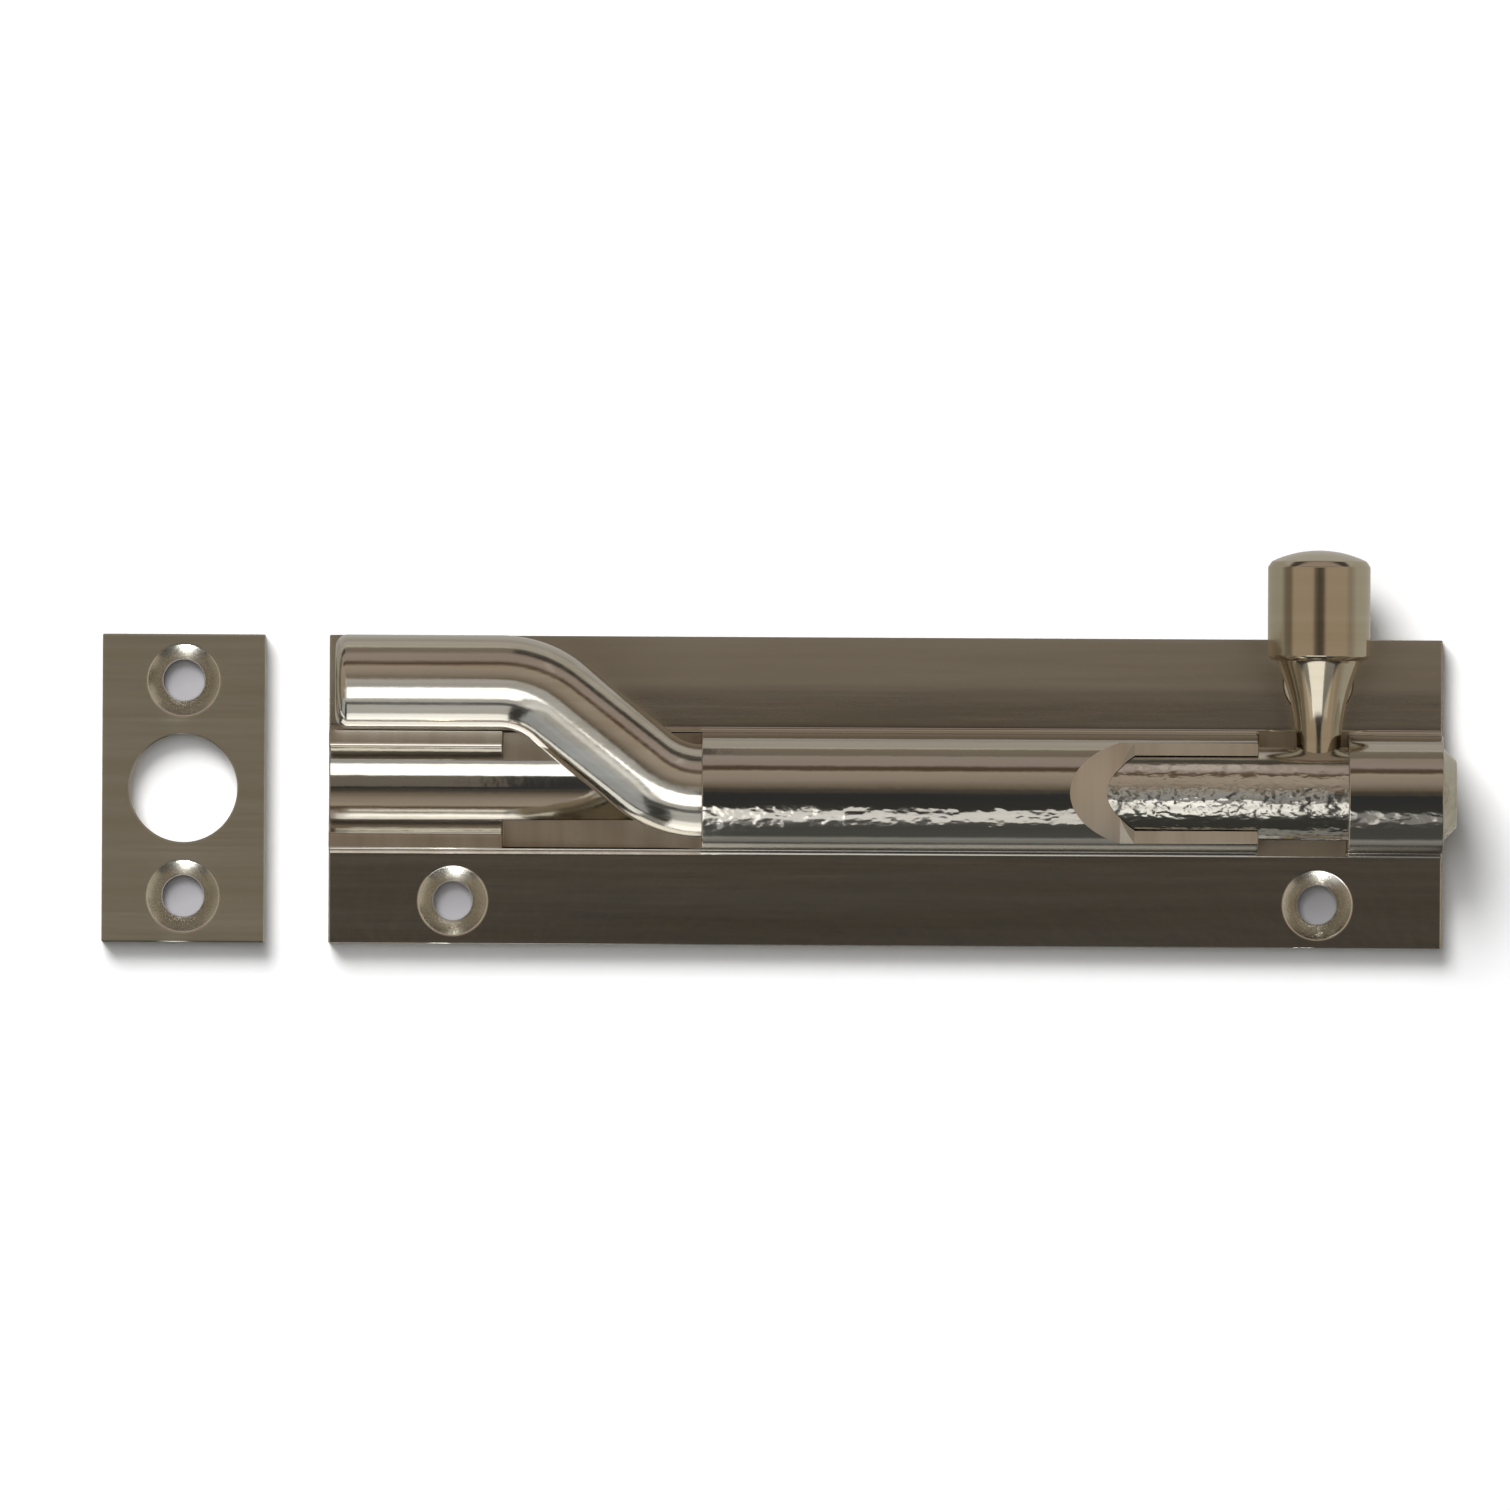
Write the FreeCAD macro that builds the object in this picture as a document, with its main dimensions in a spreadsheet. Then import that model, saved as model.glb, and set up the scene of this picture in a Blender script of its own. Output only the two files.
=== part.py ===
import FreeCAD, Part
import math
import os
import re

import Sketcher

# Swan neck door bolt, in millimetres.
# X runs along the barrel, from the nose (-X) to the end with the knob (+X).
# Y runs across the plate, and Z stands out of the door, with the plate's back on Z = 0.
# The bolt is drawn back, and its crank and its knob lie over to the +Y side.

SIZES = [
    ("plate_length", 100.0, "base plate, along the barrel"),
    ("plate_width", 27.7, "base plate and keep, across"),
    ("plate_thickness", 2.6, "base plate"),
    ("axis_height", 7.5, "barrel's axis above the plate's back"),
    ("barrel_radius", 5.25, "outside of the barrel"),
    ("bore_radius", 4.28, "inside of the barrel"),
    ("foot_width", 11.5, "small step where the barrel meets the plate"),
    ("foot_height", 0.5, "height of that step"),
    ("barrel_front", -16.5, "X of the barrel's front face"),
    ("pocket_front", -34.4, "X where the crank's deep pocket ends"),
    ("shelf_depth", 2.6, "level of the nose's shelf, below the axis"),
    ("pocket_depth", 4.3, "level of the crank's pocket, below the axis"),
    ("channel_drop", 0.91, "how far the open channel lies under the bore"),
    ("ramp_start", 16.5, "X where the crown slot's ramp leaves the barrel"),
    ("ramp_end", 21.0, "X where that ramp ends"),
    ("ramp_level", 3.94, "the ramp's crown at its end, above the axis"),
    ("ramp_rounding", 10.0, "rounding of the ramp across the barrel, at its start"),
    ("ramp_swing", 90.0, "how far round the barrel the ramp is dressed, in degrees"),
    ("slot_start", 22.3, "X where the slot's flat begins"),
    ("slot_slope", 37.0, "slope of the slot's front end, in degrees"),
    ("slot_level", 2.68, "the slot's flat, above the axis"),
    ("notch_front", 33.4, "X of the knob notch's front wall"),
    ("notch_rear", 41.5, "X of the knob notch's rear wall"),
    ("notch_depth", 4.45, "level of the notch's floor, below the axis"),
    ("screw_spacing_x", 77.7, "base screws, along the barrel"),
    ("screw_spacing_y", 20.0, "base screws, across"),
    ("screw_hole", 3.5, "base screw holes"),
    ("screw_sink", 6.2, "countersinks of the base"),
    ("rod_radius", 4.2, "bolt rod"),
    ("rod_rear", 51.2, "X of the rod's rear end"),
    ("rod_chamfer", 1.2, "chamfer of the rear end"),
    ("nose_end", -49.4, "X of the nose"),
    ("nose_rounding", 1.1, "rounding of the nose"),
    ("neck_offset", 9.67, "crank's throw, from the rod's axis to the nose's"),
    ("crank_angle", 38.0, "slope of the crank, in degrees"),
    ("crank_radius", 8.4, "bend radius of the rod's centreline"),
    ("knob_station", 38.8, "X of the knob on the rod"),
    ("stem_radius", 2.0, "knob's neck, where it enters the rod"),
    ("stem_seat", 3.2, "bottom of the neck's seat, from the rod's axis"),
    ("stud_radius", 1.5, "stud below the neck"),
    ("stud_depth", 1.6, "end of the stud, past the rod's axis"),
    ("flare_start", 4.0, "where the neck begins to flare"),
    ("flare_radius", 3.9, "neck's radius under the head"),
    ("head_bottom", 12.0, "underside of the head"),
    ("head_radius", 4.6, "head"),
    ("head_shoulder", 20.7, "where the head's domed end begins"),
    ("knob_top", 21.85, "top of the dome, from the rod's axis"),
    ("head_chamfer", 0.35, "chamfer of the head's edges"),
    ("ring_station", 8.0, "X of the friction ring"),
    ("ring_outer", 4.25, "outer radius, against the bore"),
    ("ring_inner", 3.4, "inner radius"),
    ("ring_width", 1.2, "along the rod"),
    ("ring_gap", 1.6, "split of the ring"),
    ("ring_play", 0.08, "clearance to its groove, all round"),
    ("keep_length", 14.6, "keep, along X"),
    ("keep_thickness", 2.5, "keep"),
    ("keep_station", -63.1, "X of the keep's centre"),
    ("keep_hole_radius", 4.85, "keep's hole for the nose"),
    ("keep_screw_spacing", 19.4, "keep screws, across"),
    ("keep_screw_hole", 3.7, "keep's screw holes"),
    ("keep_screw_sink", 6.5, "countersinks of the keep"),
    ("sink_angle", 90.0, "countersinks of both plates, in degrees"),
    ("cutter_overrun", 2.0, "how far a cut runs past the metal"),
]

# How a sketch names its origin and the two ends and the centre of an edge
ORIGIN = (-1, 1)
START, END, CENTRE = 1, 2, 3
SAME_PLACE = 1e-6

doc = FreeCAD.newDocument("swan_neck_door_bolt")
sheet = doc.addObject("Spreadsheet::Sheet", "Sizes")
for row, (alias, value, meaning) in enumerate(SIZES, start=1):
    sheet.set(f"A{row}", meaning)
    sheet.set(f"B{row}", str(value))
    sheet.setAlias(f"B{row}", alias)
doc.recompute()
ALIASES = {alias for alias, _, _ in SIZES}


def linked(words):
    """Turn a formula in plain aliases into one that names the sheet."""
    return re.sub(r"[a-z]\w+", lambda found: f"Sizes.{found[0]}" if found[0] in ALIASES else found[0], words)


def worth(words):
    """Work a formula out as a number."""
    return float(sheet.evalExpression(linked(words).replace("Sizes.", "")))


def set_size(item, name, words):
    """Tie one property of an object to the sheet."""
    item.setExpression(name, linked(words))


def new_body(label, x="0", z="0"):
    """Start one sub-part whose own origin lies at X = x, Z = z."""
    body = doc.addObject("PartDesign::Body", label)
    body.Label = label
    set_size(body, "Placement.Base.x", x)
    set_size(body, "Placement.Base.z", z)
    return body


def new_sketch(body, name, role, lift="0"):
    """Put a sketch on one of the body's own planes, moved along its normal by lift."""
    sketch = body.newObject("Sketcher::SketchObject", name)
    plane = next(item for item in body.Origin.OriginFeatures if item.Role == role)
    sketch.AttachmentSupport = [(plane, "")]
    sketch.MapMode = "FlatFace"
    set_size(sketch, "AttachmentOffset.Base.z", lift)
    return sketch


def bind(sketch, words, kind, *references):
    """Add one dimension to a sketch and tie it to the sheet."""
    index = sketch.addConstraint(Sketcher.Constraint(kind, *references, worth(words)))
    set_size(sketch, f"Constraints[{index}]", words)


def fix(sketch, edge, end, place):
    """Dimension one point of a sketch from the origin."""
    bind(sketch, place[0], "DistanceX", *ORIGIN, edge, end)
    bind(sketch, place[1], "DistanceY", *ORIGIN, edge, end)


def bulge(start, finish, radius, side):
    """Find the middle of an arc from its ends, its radius and the side that it bulges to.

    side is 1 for the left of the way from start to finish, and -1 for the right.
    """
    chord = finish - start
    sagitta = radius - math.sqrt(max(radius ** 2 - chord.Length ** 2 / 4, 0))
    left = FreeCAD.Vector(-chord.y, chord.x, 0).normalize()
    return (start + finish) / 2 + left * sagitta * side


def trace(sketch, places, arcs=None, closed=True):
    """Draw lines and arcs from place to place, each place a pair of formulas.

    arcs gives the radius and the side of each arc, by the number of the place that it starts from.
    """
    arcs = arcs or {}
    points = [FreeCAD.Vector(worth(x), worth(y), 0) for x, y in places]
    last = len(points) if closed else len(points) - 1
    ends = []
    for number in range(last):
        start, finish = points[number], points[(number + 1) % len(points)]
        if number in arcs:
            radius, side = arcs[number]
            edge = Part.Arc(start, bulge(start, finish, worth(radius), side), finish)
        else:
            edge = Part.LineSegment(start, finish)
        sketch.addGeometry(edge)
        forward = sketch.getPoint(number, START).distanceToPoint(start) < SAME_PLACE
        ends.append((START, END) if forward else (END, START))
    for number in range(last):
        fix(sketch, number, ends[number][0], places[number])
        if number in arcs:
            bind(sketch, arcs[number][0], "Radius", number)
        if number or closed:
            before = (number - 1) % last
            joint = ("Coincident", before, ends[before][1], number, ends[number][0])
            sketch.addConstraint(Sketcher.Constraint(*joint))
    if not closed:
        fix(sketch, last - 1, ends[-1][1], places[-1])


def ring(sketch, radius, x="0", y="0"):
    """Draw one circle of a given radius about a given centre."""
    middle = FreeCAD.Vector(worth(x), worth(y), 0)
    number = sketch.addGeometry(Part.Circle(middle, FreeCAD.Vector(0, 0, 1), worth(radius)))
    bind(sketch, radius, "Radius", number)
    fix(sketch, number, CENTRE, (x, y))


def box(sketch, left, right, bottom, top):
    """Draw an upright rectangle."""
    trace(sketch, [(left, bottom), (right, bottom), (right, top), (left, top)])


def volume(body):
    """Measure what the body holds so far."""
    doc.recompute()
    return body.Shape.Volume


def pad(body, name, sketch, length, both_ways=False):
    """Raise a sketch into a solid."""
    feature = body.newObject("PartDesign::Pad", name)
    feature.Profile = sketch
    feature.SideType = "Symmetric" if both_ways else "One side"
    set_size(feature, "Length", length)
    doc.recompute()
    return feature


def cut(body, name, sketch, length, both_ways=False):
    """Mill a sketch out of the body, and make sure that metal has gone."""
    before = volume(body)
    feature = body.newObject("PartDesign::Pocket", name)
    feature.Profile = sketch
    feature.SideType = "Symmetric" if both_ways else "One side"
    set_size(feature, "Length", length)
    if volume(body) >= before:
        raise ValueError(f"{name} removes nothing")
    return feature


def turn_away(body, name, sketch, swing=None):
    """Turn a sketch about its own level axis and take it out of the body.

    swing is the angle that it goes through, half to each side, and a whole turn without it.
    """
    before = volume(body)
    feature = body.newObject("PartDesign::Groove", name)
    feature.Profile = sketch
    feature.ReferenceAxis = (sketch, ["H_Axis"])
    if swing:
        feature.Midplane = True
        set_size(feature, "Angle", swing)
    if volume(body) >= before:
        raise ValueError(f"{name} removes nothing")
    return feature


def countersink(body, name, sketch, bore, sink):
    """Drill and countersink the sketch's circles right through the plate."""
    before = volume(body)
    feature = body.newObject("PartDesign::Hole", name)
    feature.Profile = sketch
    doc.recompute()
    feature.DepthType = "ThroughAll"
    feature.HoleCutType = "Countersink"
    feature.HoleCutCustomValues = True
    set_size(feature, "Diameter", bore)
    set_size(feature, "HoleCutDiameter", sink)
    set_size(feature, "HoleCutCountersinkAngle", "sink_angle")
    if volume(body) >= before:
        raise ValueError(f"{name} removes nothing")
    return feature


def round_edges(feature):
    """Name the edges of a feature that lie on full circles."""
    for number, edge in enumerate(feature.Shape.Edges, start=1):
        if edge.isClosed() and not edge.Degenerated and isinstance(edge.Curve, Part.Circle):
            yield f"Edge{number}", edge.Curve


def dress(body, kind, name, feature, edges, words):
    """Chamfer or round some edges of a feature."""
    trim = body.newObject(f"PartDesign::{kind}", name)
    trim.Base = (feature, edges)
    set_size(trim, "Size" if kind == "Chamfer" else "Radius", words)
    doc.recompute()
    return trim


def make_barrel_plate():
    """Mill the barrel and its plate out of one length of extrusion."""
    body = new_body("barrel_plate")
    section = new_sketch(body, "extrusion_section", "YZ_Plane")
    foot_top = "plate_thickness + foot_height"
    trace(section, [
        ("-plate_width / 2", "0"),
        ("plate_width / 2", "0"),
        ("plate_width / 2", "plate_thickness"),
        ("foot_width / 2", "plate_thickness"),
        ("foot_width / 2", foot_top),
        ("barrel_radius", foot_top),
        ("barrel_radius", "axis_height"),
        ("0", "axis_height + barrel_radius"),
        ("-barrel_radius", "axis_height"),
        ("-barrel_radius", foot_top),
        ("-foot_width / 2", foot_top),
        ("-foot_width / 2", "plate_thickness"),
        ("-plate_width / 2", "plate_thickness"),
    ], {6: ("barrel_radius", -1), 7: ("barrel_radius", -1)})
    ring(section, "bore_radius", y="axis_height")
    pad(body, "extrusion", section, "plate_length", both_ways=True)

    above = "axis_height + barrel_radius + cutter_overrun"
    pocket = new_sketch(body, "pocket_side", "XZ_Plane")
    box(pocket, "pocket_front", "barrel_front", "axis_height - pocket_depth", above)
    cut(body, "crank_pocket", pocket, "plate_width", both_ways=True)

    shelf = new_sketch(body, "shelf_side", "XZ_Plane")
    box(shelf, "-plate_length / 2 - cutter_overrun", "pocket_front", "axis_height - shelf_depth", above)
    cut(body, "nose_shelf", shelf, "plate_width", both_ways=True)

    channel = new_sketch(body, "channel_end", "YZ_Plane", lift="barrel_front")
    ring(channel, "bore_radius", y="axis_height - channel_drop")
    cut(body, "open_channel", channel, "plate_length / 2 + barrel_front")

    notch = new_sketch(body, "notch_side", "XZ_Plane")
    box(notch, "notch_front", "notch_rear", "axis_height - notch_depth", above)
    cut(body, "knob_notch", notch, "plate_width", both_ways=True)

    crown = new_sketch(body, "crown_slot_side", "XZ_Plane")
    slot_floor = "axis_height + slot_level"
    slope_top = f"slot_start - ({above} - ({slot_floor})) / tan(slot_slope)"
    trace(crown, [
        ("slot_start", slot_floor),
        ("notch_front + cutter_overrun", slot_floor),
        ("notch_front + cutter_overrun", above),
        (slope_top, above),
    ])
    cut(body, "crown_slot", crown, "plate_width", both_ways=True)

    ramp = new_sketch(body, "ramp_side", "XZ_Plane")
    set_size(ramp, "AttachmentOffset.Base.y", "axis_height + barrel_radius - ramp_rounding")
    ramp_floor = "ramp_rounding + ramp_level - barrel_radius"
    trace(ramp, [
        ("ramp_start", "ramp_rounding"),
        ("ramp_end", ramp_floor),
        ("slot_start", ramp_floor),
        ("slot_start", "ramp_rounding + cutter_overrun"),
        ("ramp_start", "ramp_rounding + cutter_overrun"),
    ])
    turn_away(body, "crown_ramp", ramp, "ramp_swing")

    screws = new_sketch(body, "screw_places", "XY_Plane", lift="plate_thickness")
    for x in ("-screw_spacing_x / 2", "screw_spacing_x / 2"):
        for y in ("-screw_spacing_y / 2", "screw_spacing_y / 2"):
            ring(screws, "screw_hole / 2", x, y)
    body.Tip = countersink(body, "base_screw_holes", screws, "screw_hole", "screw_sink")
    return body


def make_swan_neck_bolt():
    """Bend the rod, and drill it for the knob."""
    body = new_body("swan_neck_bolt", z="axis_height")
    bend_run = "crank_radius * sin(crank_angle)"
    bend_rise = "crank_radius * (1 - cos(crank_angle))"
    slope_run = f"(neck_offset - 2 * {bend_rise}) / tan(crank_angle)"
    neck_start = f"barrel_front - 2 * {bend_run} - {slope_run}"
    path = new_sketch(body, "rod_centreline", "XY_Plane")
    trace(path, [
        ("rod_rear", "0"),
        ("barrel_front", "0"),
        (f"barrel_front - {bend_run}", bend_rise),
        (f"{neck_start} + {bend_run}", f"neck_offset - {bend_rise}"),
        (neck_start, "neck_offset"),
        ("nose_end", "neck_offset"),
    ], {1: ("crank_radius", 1), 3: ("crank_radius", -1)}, closed=False)
    section = new_sketch(body, "rod_section", "YZ_Plane", lift="rod_rear")
    ring(section, "rod_radius")
    rod = body.newObject("PartDesign::AdditivePipe", "bent_rod")
    rod.Profile = section
    rod.Spine = (path, [f"Edge{number + 1}" for number in range(path.GeometryCount)])
    doc.recompute()

    rear = [name for name, curve in round_edges(rod) if curve.Center.x > worth("rod_rear") - SAME_PLACE]
    tail = dress(body, "Chamfer", "rear_chamfer", rod, rear, "rod_chamfer")
    nose = [name for name, curve in round_edges(tail) if curve.Center.x < worth("nose_end") + SAME_PLACE]
    dress(body, "Fillet", "nose_rounding", tail, nose, "nose_rounding")

    groove = new_sketch(body, "ring_groove_side", "XZ_Plane")
    half_width = "(ring_width / 2 + ring_play)"
    box(groove, f"ring_station - {half_width}", f"ring_station + {half_width}",
        "ring_inner - ring_play", "rod_radius + cutter_overrun")
    turn_away(body, "ring_groove", groove)

    seat = new_sketch(body, "stem_seat_end", "XZ_Plane", lift="-stem_seat")
    ring(seat, "stem_radius", x="knob_station")
    cut(body, "stem_seat", seat, "rod_radius")
    drilling = new_sketch(body, "stud_hole_end", "XZ_Plane", lift="stud_depth")
    ring(drilling, "stud_radius", x="knob_station")
    body.Tip = cut(body, "stud_hole", drilling, "stud_depth + rod_radius")
    return body


def make_knob():
    """Turn the knob, which stands on the side of the rod."""
    body = new_body("knob", x="knob_station", z="axis_height")
    flare_rise = "(head_bottom - flare_start)"
    flare_out = "(flare_radius - stem_radius)"
    dome_rise = "(knob_top - head_shoulder)"
    profile = new_sketch(body, "turned_profile", "XZ_Plane")
    trace(profile, [
        ("0", "-stud_depth"),
        ("stud_radius", "-stud_depth"),
        ("stud_radius", "stem_seat"),
        ("stem_radius", "stem_seat"),
        ("stem_radius", "flare_start"),
        ("flare_radius", "head_bottom"),
        ("head_radius", "head_bottom"),
        ("head_radius", "head_shoulder"),
        ("0", "knob_top"),
    ], {
        4: (f"({flare_rise}^2 + {flare_out}^2) / (2 * {flare_out})", 1),
        7: (f"(head_radius^2 + {dome_rise}^2) / (2 * {dome_rise})", -1),
    })
    turning = body.newObject("PartDesign::Revolution", "turned_knob")
    turning.Profile = profile
    turning.ReferenceAxis = (profile, ["V_Axis"])
    doc.recompute()
    widest = worth("head_radius") - SAME_PLACE
    edges = [name for name, curve in round_edges(turning) if curve.Radius > widest]
    body.Tip = dress(body, "Chamfer", "head_edges", turning, edges, "head_chamfer")
    body.Placement.Rotation = FreeCAD.Rotation(FreeCAD.Vector(1, 0, 0), -90)
    return body


def make_friction_ring():
    """Make the split spring ring that drags in the barrel."""
    body = new_body("friction_ring", x="ring_station", z="axis_height")
    section = new_sketch(body, "ring_end", "YZ_Plane")
    ring(section, "ring_outer")
    ring(section, "ring_inner")
    pad(body, "whole_ring", section, "ring_width", both_ways=True)
    split = new_sketch(body, "split_end", "YZ_Plane")
    box(split, "-ring_gap / 2", "ring_gap / 2", "-ring_outer - cutter_overrun", "0")
    body.Tip = cut(body, "ring_split", split, "ring_width + cutter_overrun", both_ways=True)
    return body


def make_keep_plate():
    """Make the keep, which goes on the frame and takes the nose."""
    body = new_body("keep_plate", x="keep_station")
    face = new_sketch(body, "keep_face", "XY_Plane")
    box(face, "-keep_length / 2", "keep_length / 2", "-plate_width / 2", "plate_width / 2")
    ring(face, "keep_hole_radius")
    pad(body, "keep_blank", face, "keep_thickness")
    screws = new_sketch(body, "keep_screw_places", "XY_Plane", lift="keep_thickness")
    for y in ("-keep_screw_spacing / 2", "keep_screw_spacing / 2"):
        ring(screws, "keep_screw_hole / 2", y=y)
    body.Tip = countersink(body, "keep_screw_holes", screws, "keep_screw_hole", "keep_screw_sink")
    return body


bodies = [make_barrel_plate(), make_swan_neck_bolt(), make_knob(), make_friction_ring(), make_keep_plate()]
doc.recompute()

for item in doc.Objects:
    if "Invalid" in item.State or "Error" in item.State:
        raise ValueError(f"{item.Name} is {item.State}")
for body in bodies:
    if body.Shape.isNull() or not body.Shape.isValid() or len(body.Shape.Solids) != 1:
        raise ValueError(f"{body.Label} is not one sound solid")

os.makedirs("parts", exist_ok=True)
for body in bodies:
    body.Shape.exportStep(f"parts/{body.Label}.step")
    span = body.Shape.BoundBox
    print(f"{body.Label}: {body.Shape.Volume:.0f} mm3, "
          f"X {span.XMin:.2f} to {span.XMax:.2f}, "
          f"Y {span.YMin:.2f} to {span.YMax:.2f}, "
          f"Z {span.ZMin:.2f} to {span.ZMax:.2f}")
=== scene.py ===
"""Swan neck door bolt with its keep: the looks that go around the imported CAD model.

Sizes are in millimetres in the classes and in metres in Blender. X runs along the barrel, from the
nose (-X) to the knob (+X), Y runs across the plate, and Z stands out of the door.
"""

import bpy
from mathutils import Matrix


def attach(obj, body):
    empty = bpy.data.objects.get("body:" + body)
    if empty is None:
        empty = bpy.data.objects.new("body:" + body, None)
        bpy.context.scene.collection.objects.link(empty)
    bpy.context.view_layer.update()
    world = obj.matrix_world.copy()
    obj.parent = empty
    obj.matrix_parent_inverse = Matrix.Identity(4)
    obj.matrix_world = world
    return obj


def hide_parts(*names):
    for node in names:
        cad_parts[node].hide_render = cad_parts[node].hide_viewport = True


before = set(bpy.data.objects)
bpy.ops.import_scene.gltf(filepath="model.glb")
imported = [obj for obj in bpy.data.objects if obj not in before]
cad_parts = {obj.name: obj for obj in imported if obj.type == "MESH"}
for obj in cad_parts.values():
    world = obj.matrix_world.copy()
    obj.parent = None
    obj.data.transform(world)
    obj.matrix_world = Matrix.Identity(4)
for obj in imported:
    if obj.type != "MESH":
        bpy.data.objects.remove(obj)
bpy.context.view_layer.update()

import logging
import math
from collections.abc import Callable, Sequence
from dataclasses import dataclass
from enum import Enum

import bpy
from mathutils import Vector

MM = 0.001
FULL_TURN = 2 * math.pi
# How many faces a full turn, a bend of the rod, a small arc and a broken edge have
ROUND_STEPS = 96
BEND_STEPS = 14
ARC_STEPS = 8
EDGE_STEPS = 4
MERGE_DISTANCE = 0.002 * MM
# Below this angle, two faces join without an edge
SMOOTH_ANGLE = math.radians(28)
# How far a cutter reaches past what it cuts, and how near a face has to lie to count as there (mm)
OVERRUN = 2.0
NEAR = 0.05
# How far off the round a face of the barrel's skin or bore may seem to lie (mm)
SKIN = 0.02
# How much of a normal lies along an axis: at least, where the face is square to it, and at least and
# at most, where the face is the slope of a countersink
SQUARE = 0.9
SLOPING = 0.3, 0.95
# From streak to streak of the brown film of age (mm)
FILM_SPACING = 1.8

BARREL = "barrel_plate_dressed"
ROD = "swan_neck_bolt_dressed"
KNOB = "knob_dressed"
KEEP = "keep_plate_dressed"

Colour = tuple[float, float, float, float]
Place = tuple[float, float, float]
Pair = tuple[float, float]
Sky = tuple[tuple[int, tuple[float, float, float]], ...]

log = logging.getLogger("door_bolt")


def to_linear(code: str) -> Colour:
    """Turn an sRGB hex colour into the linear one that a shader takes.

    Args:
        code: Six hex digits, with or without a leading #.

    Returns:
        Red, green, blue and an alpha of one.
    """
    digits = code.lstrip("#")
    shares = [int(digits[start:start + 2], 16) / 255 for start in (0, 2, 4)]
    linear = [share / 12.92 if share <= 0.04045 else ((share + 0.055) / 1.055) ** 2.4
              for share in shares]
    return linear[0], linear[1], linear[2], 1.0


def metres(x: float, y: float, z: float) -> Vector:
    """Turn a place in millimetres into one in metres."""
    return Vector((x, y, z)) * MM


def add_node(
    tree: bpy.types.NodeTree,
    kind: str,
    sockets: dict[int | str, object] | None = None,
    stops: Sequence[tuple[float, Colour]] = (),
    **settings: object,
) -> bpy.types.Node:
    """Add one node with its settings, its socket values, its links and its ramp.

    Args:
        tree: The tree that the node goes into.
        kind: The node's type name.
        sockets: What each input gets, either a plain value or another node's output.
        stops: Place and colour of each stop, for a colour ramp.
        **settings: Properties of the node itself.

    Returns:
        The new node.
    """
    node = tree.nodes.new(kind)
    for name, value in settings.items():
        setattr(node, name, value)
    for key, value in (sockets or {}).items():
        if isinstance(value, bpy.types.NodeSocket):
            tree.links.new(value, node.inputs[key])
        else:
            node.inputs[key].default_value = value
    for number, (place, colour) in enumerate(stops):
        elements = node.color_ramp.elements
        stop = elements[number] if number < 2 else elements.new(place)
        stop.position = place
        stop.color = colour
    return node


class Lay(Enum):
    """The way that the fine lines of a finish run, as the stretch of their pattern on X, Y and Z."""

    ALONG_BARREL = (0.03, 1.0, 1.0)
    ACROSS_BARREL = (1.0, 0.05, 0.05)
    ROUND_KNOB = (0.02, 1.0, 0.02)
    NONE = (1.0, 1.0, 1.0)


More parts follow.
